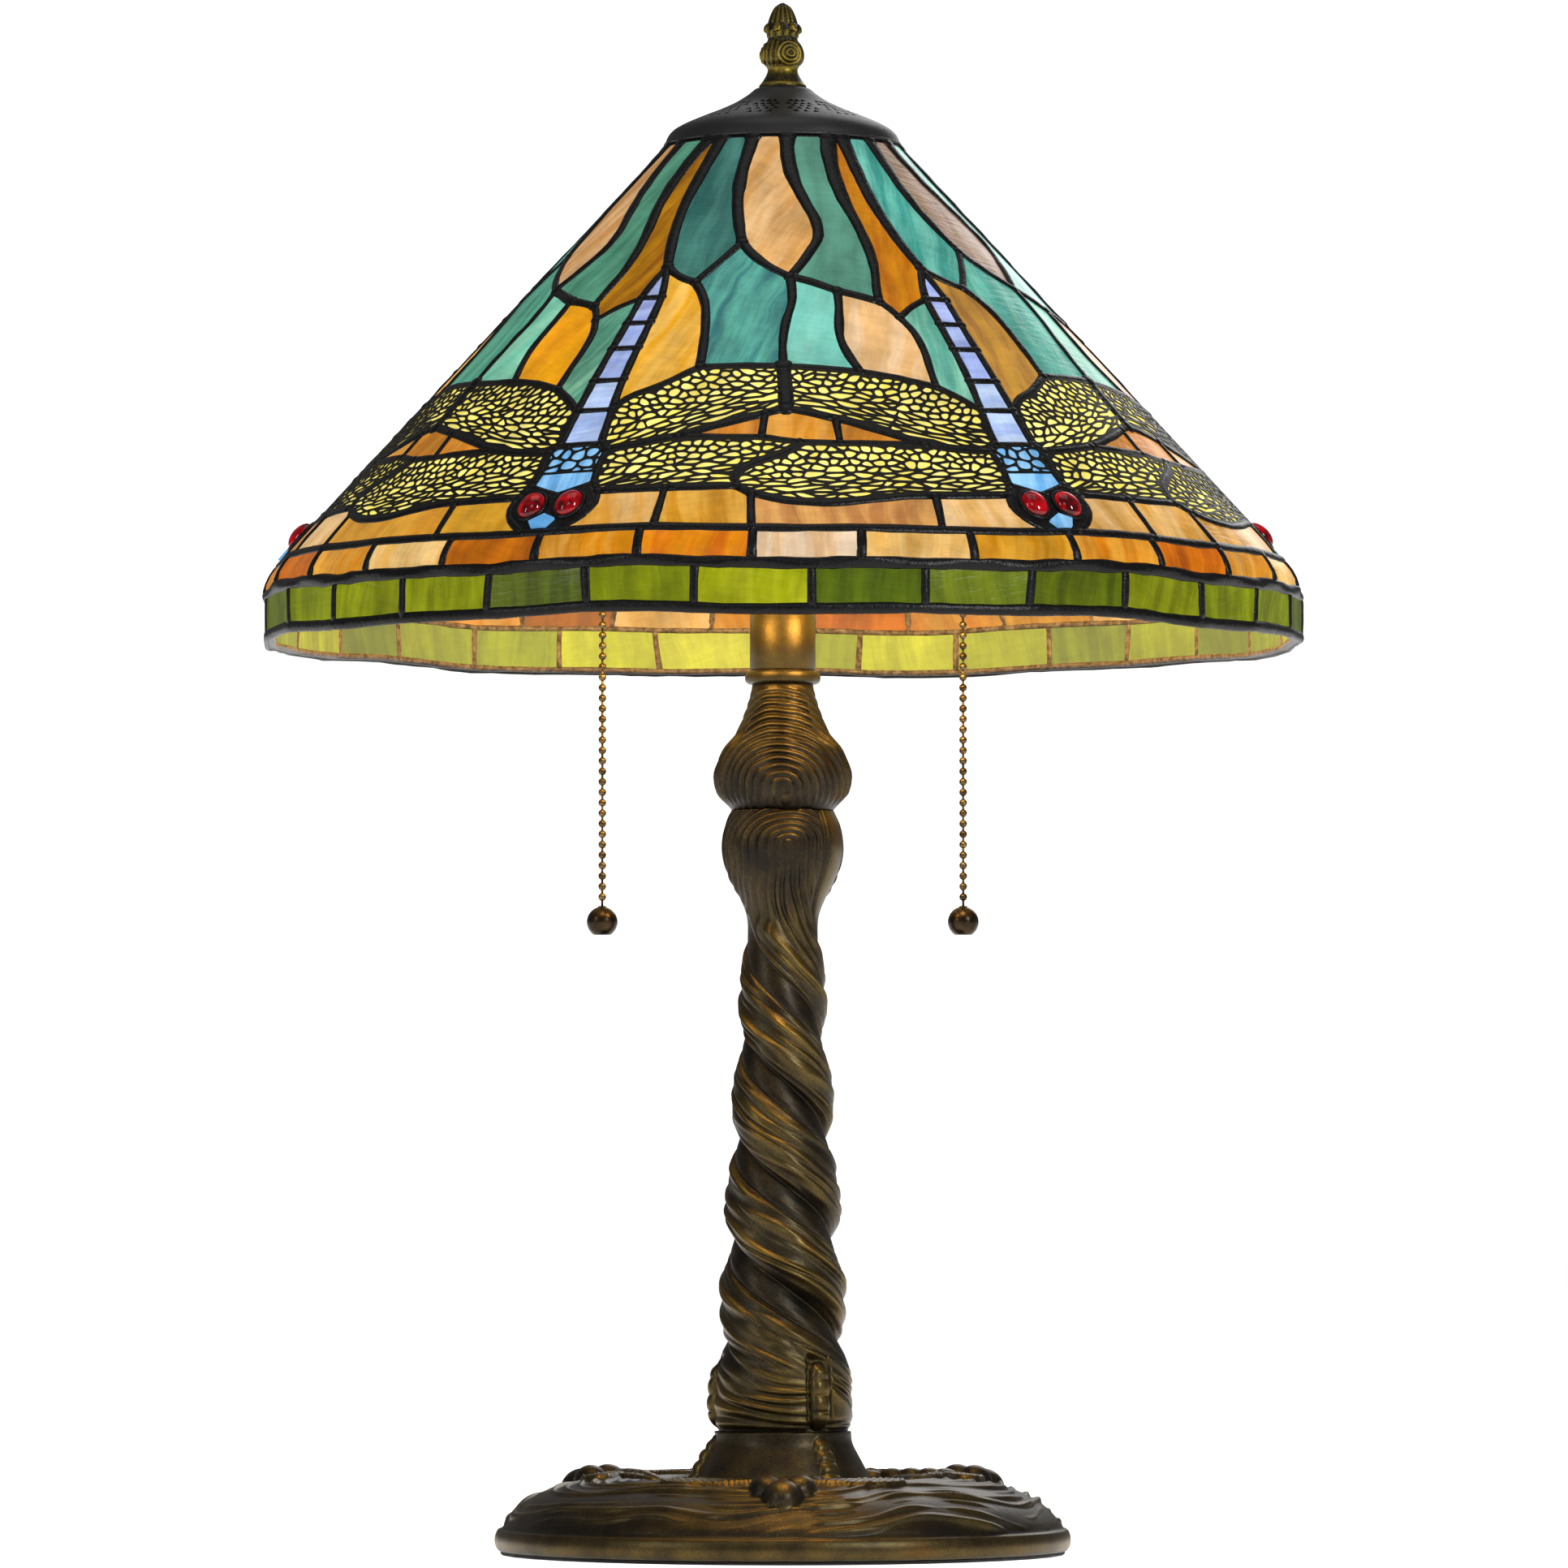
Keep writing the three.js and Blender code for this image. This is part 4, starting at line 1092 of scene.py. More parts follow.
def solder_shade(routes, dividers):
    """The solder over the leads and the rows' dividers, on both faces of the shade."""
    for name, inner, width_share, height in (("outer_solder", False, 1.0, 0.95),
                                             ("inner_solder", True, 0.8, 0.9)):
        shape = Shape()
        widest = {}
        for number, (first, last, line, widths) in enumerate(routes):
            for key, az_s, width in ((first, line[0], widths[0]), (last, line[-1], widths[-1])):
                if width > widest.get(key, (0,))[0]:
                    widest[key] = (width, *az_s)
            if widths.max() > 0:
                wide = (1.02 * widths + 1.2) * width_share
                solder_bead(shape, line, wide, height + 0.06 * widths.max(), inner, number)
        for width, az, s in widest.values():
            solder_blob(shape, az, s, 0.72 * width * width_share + 0.6, height + 0.1 * width, inner)
        for number, line in enumerate(dividers):
            solder_bead(shape, line, np.full(len(line), DIVIDER_W * width_share), height, inner, 900 + number)
        for s, width, rise in RINGS:
            solder_ring(shape, s, width * (0.5 if inner else 1), height + rise, inner, 700 + int(s))
        make(name, shape, "shade", "solder", [] if inner else ["rim_wire"])


def rim_bead():
    """The rounded lower edge of the skirt."""
    az = np.arange(0, 360, 1.5)
    point, _, _, out = shade_axes(az, np.full(len(az), ROW_SLANTS["rim"] + 0.4), -GLASS_T / 2)
    angles = np.arange(10) * TURN / 10
    down = np.array([0.0, 0.0, -1.0])
    size = 1 + 0.12 * ripple(point, 11, 31)[:, None]
    rings = [point + out * 1.9 * math.cos(a) * size + down * 1.2 * math.sin(a) * size for a in angles]
    faces = grid_faces(len(az), 10, close_rows=True)[:, ::-1]
    rim = Shape().add(np.stack(rings, 1).reshape(-1, 3), faces, inner=0.25)
    make("rim_bead", rim, "shade", "solder", [])


def overlays(wings, thorax):
    """The pierced brass sheets over the yellow wings and the thorax of each dragonfly."""
    drawings = []
    for number in range(4):
        # The left wings of the first dragonfly lie in the sixth before its own.
        outline = wings[number, CELLS - 1 if number % 2 else 0]
        outline = outline - [360 * round((outline[:, 0].mean() - FIRST_DRAGONFLY_DEG) / 360), 0]
        patch = Patch(float(outline[:, 0].mean()))
        flat = inset(patch.flat(outline), -0.2)
        height = flat[:, 1].mean()
        holes = wing_net(flat - [0, height], number, 40 + number)
        drawings.append((patch.middle, flat, [hole + [0, height] for hole in holes]))
    flat = Patch(FIRST_DRAGONFLY_DEG).flat(np.array([(az, s) for az, s in thorax if s <= 193.5]))
    height = flat[:, 1].mean()
    holes = net_holes(flat - [0, height], 4.8, lambda x, y: np.full(np.shape(x), 1.3),
                      lambda x, y: np.arctan2(y, x), 1.0, 77)
    drawings.append((FIRST_DRAGONFLY_DEG, flat, [hole + [0, height] for hole in holes]))
    for dragonfly in range(CELLS):
        shape = Shape()
        for middle, flat, holes in drawings:
            patch = Patch(middle + CELL_DEG * dragonfly)
            vertices, faces, *_ = plate(flat, holes, patch.surface, PLATE_LIFTS)
            shape.add(vertices, faces)
        make(f"wing_net_{dragonfly + 1}", shape, "shade", "plate",
             [f"wing_overlay_{(dragonfly - 1) % CELLS + 1}"], sharp=True)


EYE = {"half_width": 5.2, "half_length": 6.4, "height": 3.9, "from_middle": 7.6, "slant": 208.6}
KITE = [(0.0, 213.6), (1.6, 216.6), (0.9, 221.4), (-1.0, 221.4), (-1.7, 217.6)]


def ruby_eye(setting, az):
    """A domed ruby in a ring of solder."""
    point, across, up, out = shade_axes(az, EYE["slant"], 0.6)
    columns = 28
    angles = np.arange(columns)[:, None] * TURN / columns
    wide, tall = EYE["half_width"] + 0.5, EYE["half_length"] + 0.5
    ring = point + wide * np.sin(angles) * across + tall * np.cos(angles) * up
    bead = [ring + out * 0.9 * math.sin(b) + (ring - point) / 6.2 * 0.9 * math.cos(b)
            for b in np.arange(8) * TURN / 8]
    faces = grid_faces(columns, 8, close_rows=True)[:, ::-1]
    setting.add(np.stack(bead, 1).reshape(-1, 3), faces, 0, inner=0.0)
    tilts = np.linspace(-0.25, math.pi / 2, 9)[:-1]
    oval = EYE["half_width"] * np.sin(angles) * across + EYE["half_length"] * np.cos(angles) * up
    dome = [point + oval * math.cos(t) + EYE["height"] * math.sin(t) * out for t in tilts]
    vertices = np.concatenate([*dome, [point + EYE["height"] * out]])
    last, tip = (len(tilts) - 1) * columns, len(tilts) * columns
    faces = grid_faces(len(tilts), columns)[:, ::-1].tolist()
    faces += [[last + (i + 1) % columns, last + i, tip] for i in range(columns)]
    faces.append(list(range(columns)))
    setting.add(vertices, faces, 1, inner=0.0)


def dragonfly_head(outline):
    """A soldered setting with two ruby cabochons and a small blue kite of glass."""
    number = round((outline[:, 0].mean() - FIRST_DRAGONFLY_DEG) / CELL_DEG)
    middle = FIRST_DRAGONFLY_DEG + CELL_DEG * number
    number = number % CELLS
    patch = Patch(middle)
    vertices, faces, *_ = plate(inset(patch.flat(outline), -0.4), [], patch.surface, (-GLASS_T, 0.6), 2.4)
    setting = Shape().add(vertices, faces, inner=0.0)
    eye_deg = math.degrees(EYE["from_middle"] / float(shade_radius(EYE["slant"])))
    for side in (-1, 1):
        ruby_eye(setting, middle + side * eye_deg)
    make(f"ruby_eyes_{number + 1}", setting, "shade", "solder ruby",
         [f"dragonfly_head_{(number - 1) % CELLS + 1}"])
    kite = Glazing(60 + number)
    kite.pane(anticlockwise(np.array([(middle + az, s) for az, s in KITE])), "kite", 0, lift=(0.2, 1.7))
    make(f"nose_kite_{number + 1}", kite.shape, "shade", "glass", [], sharp=True)


# ---- The cast column ----
TWIST = 4.5  # degrees that the strands turn for each millimetre of height
PIPE_HOLE_R = 5.4
SMOOTH_SHARE = 0.27  # the smooth strand's share of a half turn; the ridged strand has the rest
CAST_LAP = 0.2  # how far the column reaches into the CAD's gaps above and below it
COLUMN_FOOT_Z = round(bottom("column_casting") - CAST_LAP, 1)
COLUMN_TOP_Z = round(top("column_casting") + CAST_LAP, 1)
STRIP_AZIMUTHS = (33, 153, -87)  # where the foot's dragonflies' tails climb the column
# (height, radius) of the creases between the strands and of the strands' crests. Both end in a lobe.
LOBE = [(255.8, 17.6), (259.7, 19.7), (267, 22.7), (276.8, 24.4), (284, 23.2), (289.4, 20.8)]
CREASES = [(47.9, 25.4), (50, 26.2), (70, 26), (84.6, 20.3), (124.6, 18), (164.6, 15.6), (204.6, 14.1),
           (226, 14), (248.3, 14.8), *LOBE]
CRESTS = [(47.9, 25.4), (50, 26.2), (64, 26.4), (74, 26), (90, 24.6), (103, 24), (141, 22), (180, 19.6),
          (217, 16.6), (240, 15.2), (248.3, 14.9), *LOBE]
# How full a strand is across a half turn, from one crease to the next.
FULLNESS = [(0, 0), (0.05, 0.2), (0.1, 0.38), (0.2, 0.6), (0.262, 0.62), (0.282, 0.44), (0.31, 0.74),
            (0.4, 0.92), (0.55, 1), (0.7, 0.99), (0.82, 0.9), (0.92, 0.66), (0.97, 0.34), (1, 0)]


def along_profile(points, z):
    """The radius at heights of a smooth line through (height, radius) points."""
    line = smooth_line(points, 1.0)
    return np.interp(z, line[:, 0], line[:, 1])


def crease_azimuth(z):
    """Where one crease is at a height. The twist fades out below the upper lobe."""
    fading = np.clip(z - 225, 0, 37)
    turned_by = np.where(z < 225, z - 204.6, 20.4 + fading - fading**2 / 74)
    return 90 - TWIST * turned_by


def boss(az, z, centre_az, centre_z, half_az, half_z):
    """A raised pad with rounded edges, from 1 on top to 0 round about."""
    across = np.abs(turn_from(az, centre_az)) / half_az
    return np.clip(1 - across**3 - np.abs((z - centre_z) / half_z) ** 3, 0, 1) ** 0.6


def column_face(z, az):
    """Radius of the column, and how much its finish is rubbed to gold, with a painted highlight along the
    upper lobe's smooth strand.
    """
    half_turn = ((crease_azimuth(z) - az) / 180) % 1
    upper = smoothstep(z, 236, 258)
    on_strands = smoothstep(z, 66, 82) * (1 - upper)
    fullness = np.interp(half_turn, *np.array(FULLNESS).T)
    low, high = along_profile(CREASES, z), along_profile(CRESTS, z)
    base = low + (high - low) * (fullness * on_strands + 1 - on_strands)
    flow = joined(half_turn * 9.6, z / 9)
    wander = ripple(flow, 2.7, 3)
    swell = np.clip(0.55 + 0.8 * ripple(flow, 2.1, 4), 0.08, 1)

    ridged = between(half_turn, SMOOTH_SHARE + 0.01, SMOOTH_SHARE + 0.05, 0.94, 1)
    spread = 8.2 + 12 * smoothstep(z, 240, 272)
    phase = np.hypot((half_turn - 0.5) * spread, np.maximum(0, z - 277) / 2.3) + (0.42 - 0.3 * upper) * wander
    swell = swell * (1 - upper) + np.clip(0.75 + 0.5 * ripple(flow, 3.3, 15), 0.3, 1) * upper
    fine = crest_wave(phase, 0.8 + 0.3 * upper) * swell
    bundles = crest_wave(phase / 2.6 + 0.15, 0.7) * (1 - 0.8 * upper)
    strand = ((1.5 + 0.4 * upper) * fine + 0.8 * bundles) * ridged
    groove = np.exp(-(((half_turn - SMOOTH_SHARE) / 0.014) ** 2)) * smoothstep(z, 236, 252)

    from_last_strip = (az - STRIP_AZIMUTHS[2]) % 360
    sector = from_last_strip % 120 / 120
    rise = 15 * smoothstep(z, 49, 70) * (1 - sector) ** 1.6
    near_collar = ripple(joined(from_last_strip / 9, z / 2.5), 9, 5)
    on_collar = between(z, 48.6, 50.5, 64, 78)
    from_strip = np.minimum(sector, 1 - sector) * 120
    faded = np.clip(0.7 + 0.6 * ripple(joined(from_last_strip / 14, z / 3), 4, 6), 0.2, 1)
    collar = crest_wave((z - rise) / 3.3 + 0.5 * near_collar, 0.8) * on_collar
    collar = collar * smoothstep(from_strip, 6, 12) * faded

    relief = strand * smoothstep(z, 66, 80) * (1 - 0.25 * upper) - 1.5 * groove + 1.3 * collar
    strip = 0 * (z + az)
    for centre in STRIP_AZIMUTHS:
        channel = smoothstep(13 - np.abs(turn_from(az, centre)), 0, 2) * between(z, 47, 49, 75, 79)
        block = boss(az, z, centre, 61.5, 9.6, 13.6)
        lobes = np.abs(np.sin((z - 49) / 6.4 * math.pi)) ** 0.5
        strip = np.where(block > 0, block * (3.6 + 1.0 * lobes) - 1.6, strip - 1.6 * channel)
    rub = 0.16 + (0.45 * fine + 0.28 * bundles) * ridged * smoothstep(z, 66, 80) * (1 - 0.75 * upper)
    rub = rub + 0.6 * collar + 0.2 * on_collar + 0.15 * np.clip(strip, 0, 3)
    # Painted highlight: the upper lobe's smooth strand is made lighter all along.
    rub = rub + 0.5 * between(half_turn, 0.03, 0.12, 0.2, 0.26) * upper
    return base + relief + strip - 0.95 * on_strands - 0.7 * upper, rub


def casting(name, node, outside, rub, inside):
    """A cast piece of the stand: rows of points of its outer face, how much they are rubbed to gold with any
    painted light laid in, and the circles (radius, height) of its inner face, from the end of the last row to
    the first one's."""
    rows, columns = rub.shape
    a = np.arange(columns) * TURN / columns
    circles = [around(r, a, z) for r, z in inside]
    faces = grid_faces(rows + len(inside), columns, close_rows=True)
    if outside[0, 0, 2] > outside[-1, 0, 2]:
        faces = faces[:, ::-1]
    rubs = np.r_[rub.ravel(), np.zeros(columns * len(inside))]
    shape = Shape().add(np.concatenate([outside.reshape(-1, 3), *circles]), faces, rub=rubs)
    make(name, shape, "stand", "bronze", [node])


def cast_wall(name, node, face, low, high, rows):
    """A casting round the lamp's pipe: its outside from face(z, azimuth), and a plain bore."""
    z, az = np.linspace(low, high, rows)[:, None], azimuths(320)
    radius, rub = np.broadcast_arrays(*face(z, az))
    casting(name, node, around(radius, np.radians(az), z), rub, [(PIPE_HOLE_R, high), (PIPE_HOLE_R, low)])


# (height, radius) of the neck above the column.
NECK = [(289.7, 20.6), (292, 22.4), (298, 25.6), (303.5, 26.4), (308, 25.8), (313, 24.3), (320.6, 18.6),
        (328.2, 15.4), (334, 13.6), (339.3, 12.8)]


def neck_face(z, az):
    """The neck's bulb, with nested arches at the front and the back. Its rub grows towards the top as painted
    warm light from the bulbs above.
    """
    radius = along_profile(NECK, z)
    from_middle = (az + 90) % 180 - 90
    side = np.radians(from_middle) * (0.4 * radius + 14)
    lean = side + 0.10 * np.maximum(0, z - 297.8) * np.cos(np.radians(from_middle))
    distance = np.hypot(np.minimum(np.abs(lean), 60) * 0.82, np.maximum(0, z - 297.8))
    # The noise is drawn on a circle that goes round twice, so that it closes and both arches get it.
    circle = [12 * np.sin(np.radians(2 * az)), 12 * np.cos(np.radians(2 * az))]
    place = joined(*circle, z)
    wander = 0.16 * ripple(place, 23, 8) + 0.05 * ripple(place, 8, 11)
    swell = np.clip(0.7 + 0.5 * ripple(joined(distance, *circle), 9, 9), 0.25, 1)
    phase = distance / 2.8 + wander
    ends = between(z, 290.5, 296, 335, 338.5)
    ends = ends * (1 - 0.7 * smoothstep(np.abs(from_middle), 50, 82) * smoothstep(z, 303, 314))
    relief = (1.15 * crest_wave(phase, 1.1) * swell + 0.15 * crest_wave(phase / 2.3 + 0.3, 0.8)) * ends
    knob = 1 - (np.radians(from_middle - 3) * radius / 1.8) ** 2 - ((z - 293.4) / 2.4) ** 2
    knob = np.clip(knob, 0, 1) ** 0.5
    # Painted light: the rub rises towards the top, where the bulbs' warm light falls, over the arches' own
    # rubbing.
    rub = 0.06 + 0.24 * smoothstep(z, 304, 328) + 0.26 * relief + 0.2 * knob
    return radius + 1.45 * relief + 0.9 * knob - 0.9, rub


def ring_and_sleeve():
    """The ring on the neck and the tube over the lamp's pipe above it."""
    rounded_side = [(13.4, 339.4), (14.3, 340.0), (14.75, 341.3), (14.7, 342.6), (14.2, 343.8), (13.3, 344.5)]
    profile = smooth_line(rounded_side, 0.3)[::-1].tolist() + [(PIPE_HOLE_R, 339.4), (PIPE_HOLE_R, 344.5)]
    make_turned("neck_ring", profile, 96, "stand", "bronze", ["check_ring"], "antique_bronze", rub=0.45)
    tube = [(12.85, 376), (12.85, 345.0), (12.6, 344.6), (11.6, 344.6), (11.6, 376)]
    make_turned("neck_sleeve", tube, 96, "stand", "bronze", ["sleeve_tube"], "antique_bronze", rub=0.66)


# ---- The cast foot ----
# (radius, height) from the cone's top down to the foot's lower edge.
FOOT = [(26.6, 47.6), (27.3, 42.7), (29.2, 38.9), (31.3, 35), (35.4, 27.4), (38, 23.8), (43, 23), (47.5, 25),
        (52, 28), (57, 29), (64, 29), (72, 28.6), (81, 27.4), (91.5, 24.4), (97.5, 21.6), (101.7, 18.9),
        (105.1, 15.8), (107.8, 12.7), (109.1, 10.6), (109.9, 9.9), (111, 9.6), (111.4, 9.0), (111.4, 2.2),
        (110.8, 1.5)]
FOOT_INSIDE = [(106.5, 1.5), (106.5, 7), (83, 23), (38, 21.5), (23, 42), (5.4, 43), (5.4, 47.6)]
FOOT_DRAGONFLIES = (0, 120, 240)
TAIL_TURN_DEG = 33  # how far round a tail bends by the time it reaches the cone


def cast_wings(relief, rub, along, r):
    """The foot's relief and rub with a dragonfly's two pairs of netted wings laid over them."""
    for side in (-1, 1):
        for centre, middle_r, length, width, tilt, height in ((28, 71, 24, 8.5, 0.12, 1.9),
                                                              (22, 60, 20, 6.5, -0.42, 1.5)):
            x = side * along - centre
            y = r - middle_r - tilt * x
            wing = 1 - (x / length) ** 2 - (y / (width * (0.75 + 0.25 * x / length))) ** 2
            mask = smoothstep(wing, 0, 0.16)
            edge = mask * (1 - smoothstep(wing, 0.12, 0.3))
            net = np.maximum(crest_wave((x + 0.4 * y) / 3.1, 3), crest_wave((y - 0.25 * x) / 2.3, 3))
            relief = relief * (1 - mask) + mask * (height + 0.45 * net + 0.5 * edge)
            rub = rub * (1 - mask) + mask * (0.12 + 0.5 * net + 0.4 * edge)
    return relief, rub


def foot_relief(r, z, az):
    """Height of the foot's cast relief over its turned profile, and its rub."""
    a = np.radians(az)
    place = joined(r * np.sin(a), r * np.cos(a))
    swirl = 5 * np.sin(2 * a + 0.4) + 3 * np.sin(5 * a + r / 26 + 1.2) + 0.9 * np.sin(11 * a - r / 19)
    flow = r + swirl + 2.4 * ripple(place, 46, 12)
    swell = np.clip(0.75 + 0.4 * ripple(place, 27, 13), 0.45, 1)
    waves = crest_wave(flow / 4.7, 0.9) * swell
    deep = crest_wave(flow / 14 + 0.25 * ripple(place, 40, 14), 1.1)
    on_dome = between(r, 66, 80, 107, 109.6)
    on_ring = between(r, 46, 52, 66, 80)
    on_cone = (r < 38) * smoothstep(z, 25, 28)
    relief = on_dome * (2.1 * waves + 1.2 * deep - 1.5) + on_ring * 0.8 * waves
    rub = 0.06 + on_dome * (0.28 * waves + 0.26 * deep) + on_ring * 0.3 * waves
    rub = rub + 0.4 * smoothstep(r, 109.6, 110.6)
    # A head, two eyes and the beads of a tail: how far sideways, at what radius, size and height.
    domes = [(0, 92, 7.4, 7.4), (-6.4, 84, 6.8, 6.6), (6.4, 84, 6.8, 6.6)]
    for k in range(7):
        bead_r = 74 - 5.5 * k
        bend = math.radians(TAIL_TURN_DEG * (k / 6) ** 1.5)
        domes.append((bend * bead_r, bead_r, 5.6 - 0.4 * k, 3.6 - 0.2 * k))
    for middle in FOOT_DRAGONFLIES:
        turn = turn_from(az, middle)
        along = np.radians(turn) * r
        relief, rub = cast_wings(relief, rub, along, r)
        for sideways, dome_r, size, height in domes:
            dome = 1 - ((along - sideways) / size) ** 2 - ((r - dome_r) / size) ** 2
            dome = np.clip(dome, 0, 1) ** 0.5
            relief = np.maximum(relief, dome * height)
            rub = np.where(dome > 0.2, 0.12 + 0.45 * smoothstep(dome, 0.55, 0.98), rub)
        # The tail goes on up the cone as a lobed strip in a sunk channel.
        across = np.abs(turn_from(turn, TAIL_TURN_DEG))
        strip = -1.0 * smoothstep(12.5 - across, 0, 2.2) * (1 - smoothstep(z, 45.5, 47))
        block = boss(az, z, middle + TAIL_TURN_DEG, 34, 9, 12.6)
        lobes = np.abs(np.sin((z - 26) / 4.7 * math.pi)) ** 0.5
        strip = np.where(block > 0, block * (2.6 + 1.3 * lobes) - 1.0, strip)
        relief = relief + on_cone * strip
        rub = rub + 0.08 * on_cone + 0.3 * on_cone * np.clip(strip, 0, 1)
    return relief, rub


def foot_casting():
    """The hollow foot, with its relief standing square to its turned profile."""
    line = smooth_line(FOOT, 0.62)
    down = np.gradient(line, axis=0)
    down /= np.linalg.norm(down, axis=1, keepdims=True)
    r, z, az = np.broadcast_arrays(line[:, 0, None], line[:, 1, None], azimuths(640))
    relief, rub = foot_relief(r, z, az)
    r, z = r - down[:, 1, None] * relief, z + down[:, 0, None] * relief
    casting("cast_foot", "foot_casting", around(r, np.radians(az), z), rub, FOOT_INSIDE)


# ---- Cap and finial ----
CAP = [(10.7, 573.5), (12.5, 571.9), (15.2, 570), (18.2, 568.1), (22, 566.2), (26.6, 564.2), (31.4, 562.3),
       (35.9, 560.4), (40, 558.5), (43.1, 556.6), (44.9, 554.7), (45.8, 552.8), (46.5, 550.9)]
CAP_T = 1.0
CAP_VENT_ROWS = ((560.8, 3), (562.4, 4), (563.7, 3), (565.0, 4), (566.5, 3))  # height, vents in a group
CAP_VENT_GROUPS = 12


def vented_cap():
    """The vase cap: a spun dome with groups of small three-cornered vents, with a dark sheet of painted shade
    under them.
    """
    line = smooth_line([(4, 573.7), (7, 573.7), (9.6, 573.65), *CAP], 0.8)
    lengths = 4 + lengths_along(line)

    def surface(points, lift):
        d, a = np.hypot(*points.T), np.arctan2(points[:, 0], -points[:, 1])
        _, down = along_outline(line, lengths, d, 0.5)
        r = np.interp(d, lengths, line[:, 0]) - down[:, 1] * lift
        z = np.interp(d, lengths, line[:, 1]) + down[:, 0] * lift
        return around(r, a, z)

    def circle(radius, count):
        return around(radius, np.arange(count) * TURN / count, 0)[:, :2]

    holes = [circle(4.0, 24)]
    for group in range(CAP_VENT_GROUPS):
        for height, count in CAP_VENT_ROWS:
            d = float(np.interp(-height, -line[:, 1], lengths))
            for k in range(count):
                a = math.radians((group + 0.5) * 360 / CAP_VENT_GROUPS + (k - (count - 1) / 2) * 6.6)
                out, across = np.array([math.sin(a), -math.cos(a)]), np.array([math.cos(a), math.sin(a)])
                wide = 1.4 * d / float(np.interp(d, lengths, line[:, 0]))
                holes.append(np.array([out * (d + 1.2) - across * wide, out * (d + 1.2) + across * wide,
                                       out * (d - 1.6)]))
    vertices, faces, *_ = plate(circle(lengths[-1], 180), holes, surface, (-CAP_T, 0.0), 2.0)
    make("vented_cap", Shape().add(vertices, faces), "shade", "cap", ["vase_cap"], sharp=True)
    bead = [(46.1 + 0.75 * math.cos(t), 550.9 + 0.7 * math.sin(t)) for t in np.arange(10) * TURN / 10]
    make_turned("cap_rim", bead[::-1], 120, "shade", "cap", [], "dark_cap")
    # A dark sheet just under the vents: painted shade, so the vents look black from outside.
    outer, inner = [[(r - out, z - down) for r, z in CAP[3:10]] for out, down in ((0.6, 1.4), (0.9, 1.9))]
    make_turned("vent_shade_sheet", outer + inner[::-1], 96, "shade", "iron", [], "dark_cap")


# (height, radius) of the finial.
FINIAL = [(573.8, 9.3), (574.4, 9.45), (575.1, 9.0), (575.9, 8.3), (577.4, 7.3), (579.3, 6.3), (581.2, 5.9),
          (582.4, 6.5), (583.6, 7.7), (585.4, 8.3), (587.5, 8.4), (589.5, 7.9), (591.4, 6.9), (592.9, 5.8),
          (594.2, 5.9), (596.3, 6.2), (598.2, 5.9), (599.8, 5.5), (601.5, 4.95), (603.2, 4.3), (604.8, 3.5),
          (606.1, 2.6), (607.0, 1.6), (607.5, 0.6)]
KNOP_Z, BALLS_Z, TIP_Z = 587.5, 597.4, 607.6


def finial_face(z, az):
    """A turned foot, a knop of three shell scrolls, a ring of small balls and a ribbed bud."""
    radius = along_profile(FINIAL, z)
    on_knop = between(z, 581.6, 583.2, 592, 593.4)
    scroll = crest_wave(az / 18, 0.8) * 0.6
    for centre in (22, 142, 262):
        across = np.radians(turn_from(az, centre)) * 8
        distance = np.hypot(across, (z - KNOP_Z + 0.6) * 1.05)
        rings = crest_wave(distance / 1.7 + 0.12, 0.8)
        share = smoothstep(6.4 - distance, 0, 1.2)
        scroll = scroll * (1 - share) + rings * share
        radius = radius + 0.5 * on_knop * np.clip(1 - distance / 6, 0, 1)
    ribs = between(z, 598.6, 600, 605.5, 607) * crest_wave(az / 24, 0.8)
    leaves = between(z, 593.2, 594, 596, 597) * crest_wave(az / 30 + 0.5, 0.8)
    balls = 0 * (z + az)
    for centre in range(-20, 340, 60):
        across = turn_from(az, centre) / 17
        balls = np.maximum(balls, np.clip(1 - across**2 - ((z - BALLS_Z) / 2) ** 2, 0, 1) ** 0.5)
    flange = np.exp(-(((z - 575.1) / 0.4) ** 2))
    shoulder = np.exp(-(((z - 580.6) / 1.6) ** 2))
    relief = 0.85 * on_knop * scroll + 0.4 * ribs + 0.5 * leaves + 1.5 * balls
    rub = 0.12 + 0.62 * on_knop * scroll + 0.5 * ribs + 0.6 * leaves + 0.5 * balls + 0.7 * flange
    return radius + relief - 0.45 * on_knop, rub + 0.4 * shoulder


def finial():
    """The finial, closed below by a flat face and above by its tip."""
    rows, columns = 170, 144
    z, az = np.linspace(573.8, TIP_Z - 0.1, rows)[:, None], azimuths(columns)
    radius, rub = np.broadcast_arrays(*finial_face(z, az))
    outside = around(radius, np.radians(az), z).reshape(-1, 3)
    faces = grid_faces(rows, columns).tolist()
    foot, tip, last = rows * columns, rows * columns + 1, (rows - 1) * columns
    faces += [[(i + 1) % columns, i, foot] for i in range(columns)]
    faces += [[last + i, last + (i + 1) % columns, tip] for i in range(columns)]
    vertices = np.concatenate([outside, [(0, 0, 573.8), (0, 0, TIP_Z)]])
    shape = Shape().add(vertices, faces, rub=np.r_[rub.ravel(), 0.1, 0.6])
    make("scroll_finial", shape, "finial", "finial", ["finial"])


# ---- Pull chains ----
CHAIN_X = middle_x("pull_chain_right")
BEAD_R, BEAD_PITCH = 1.55, 4.1
BALL_R = extent("pull_ball_right", "y")[1]
BALL_Z = round(top("pull_ball_right") - BALL_R, 1)


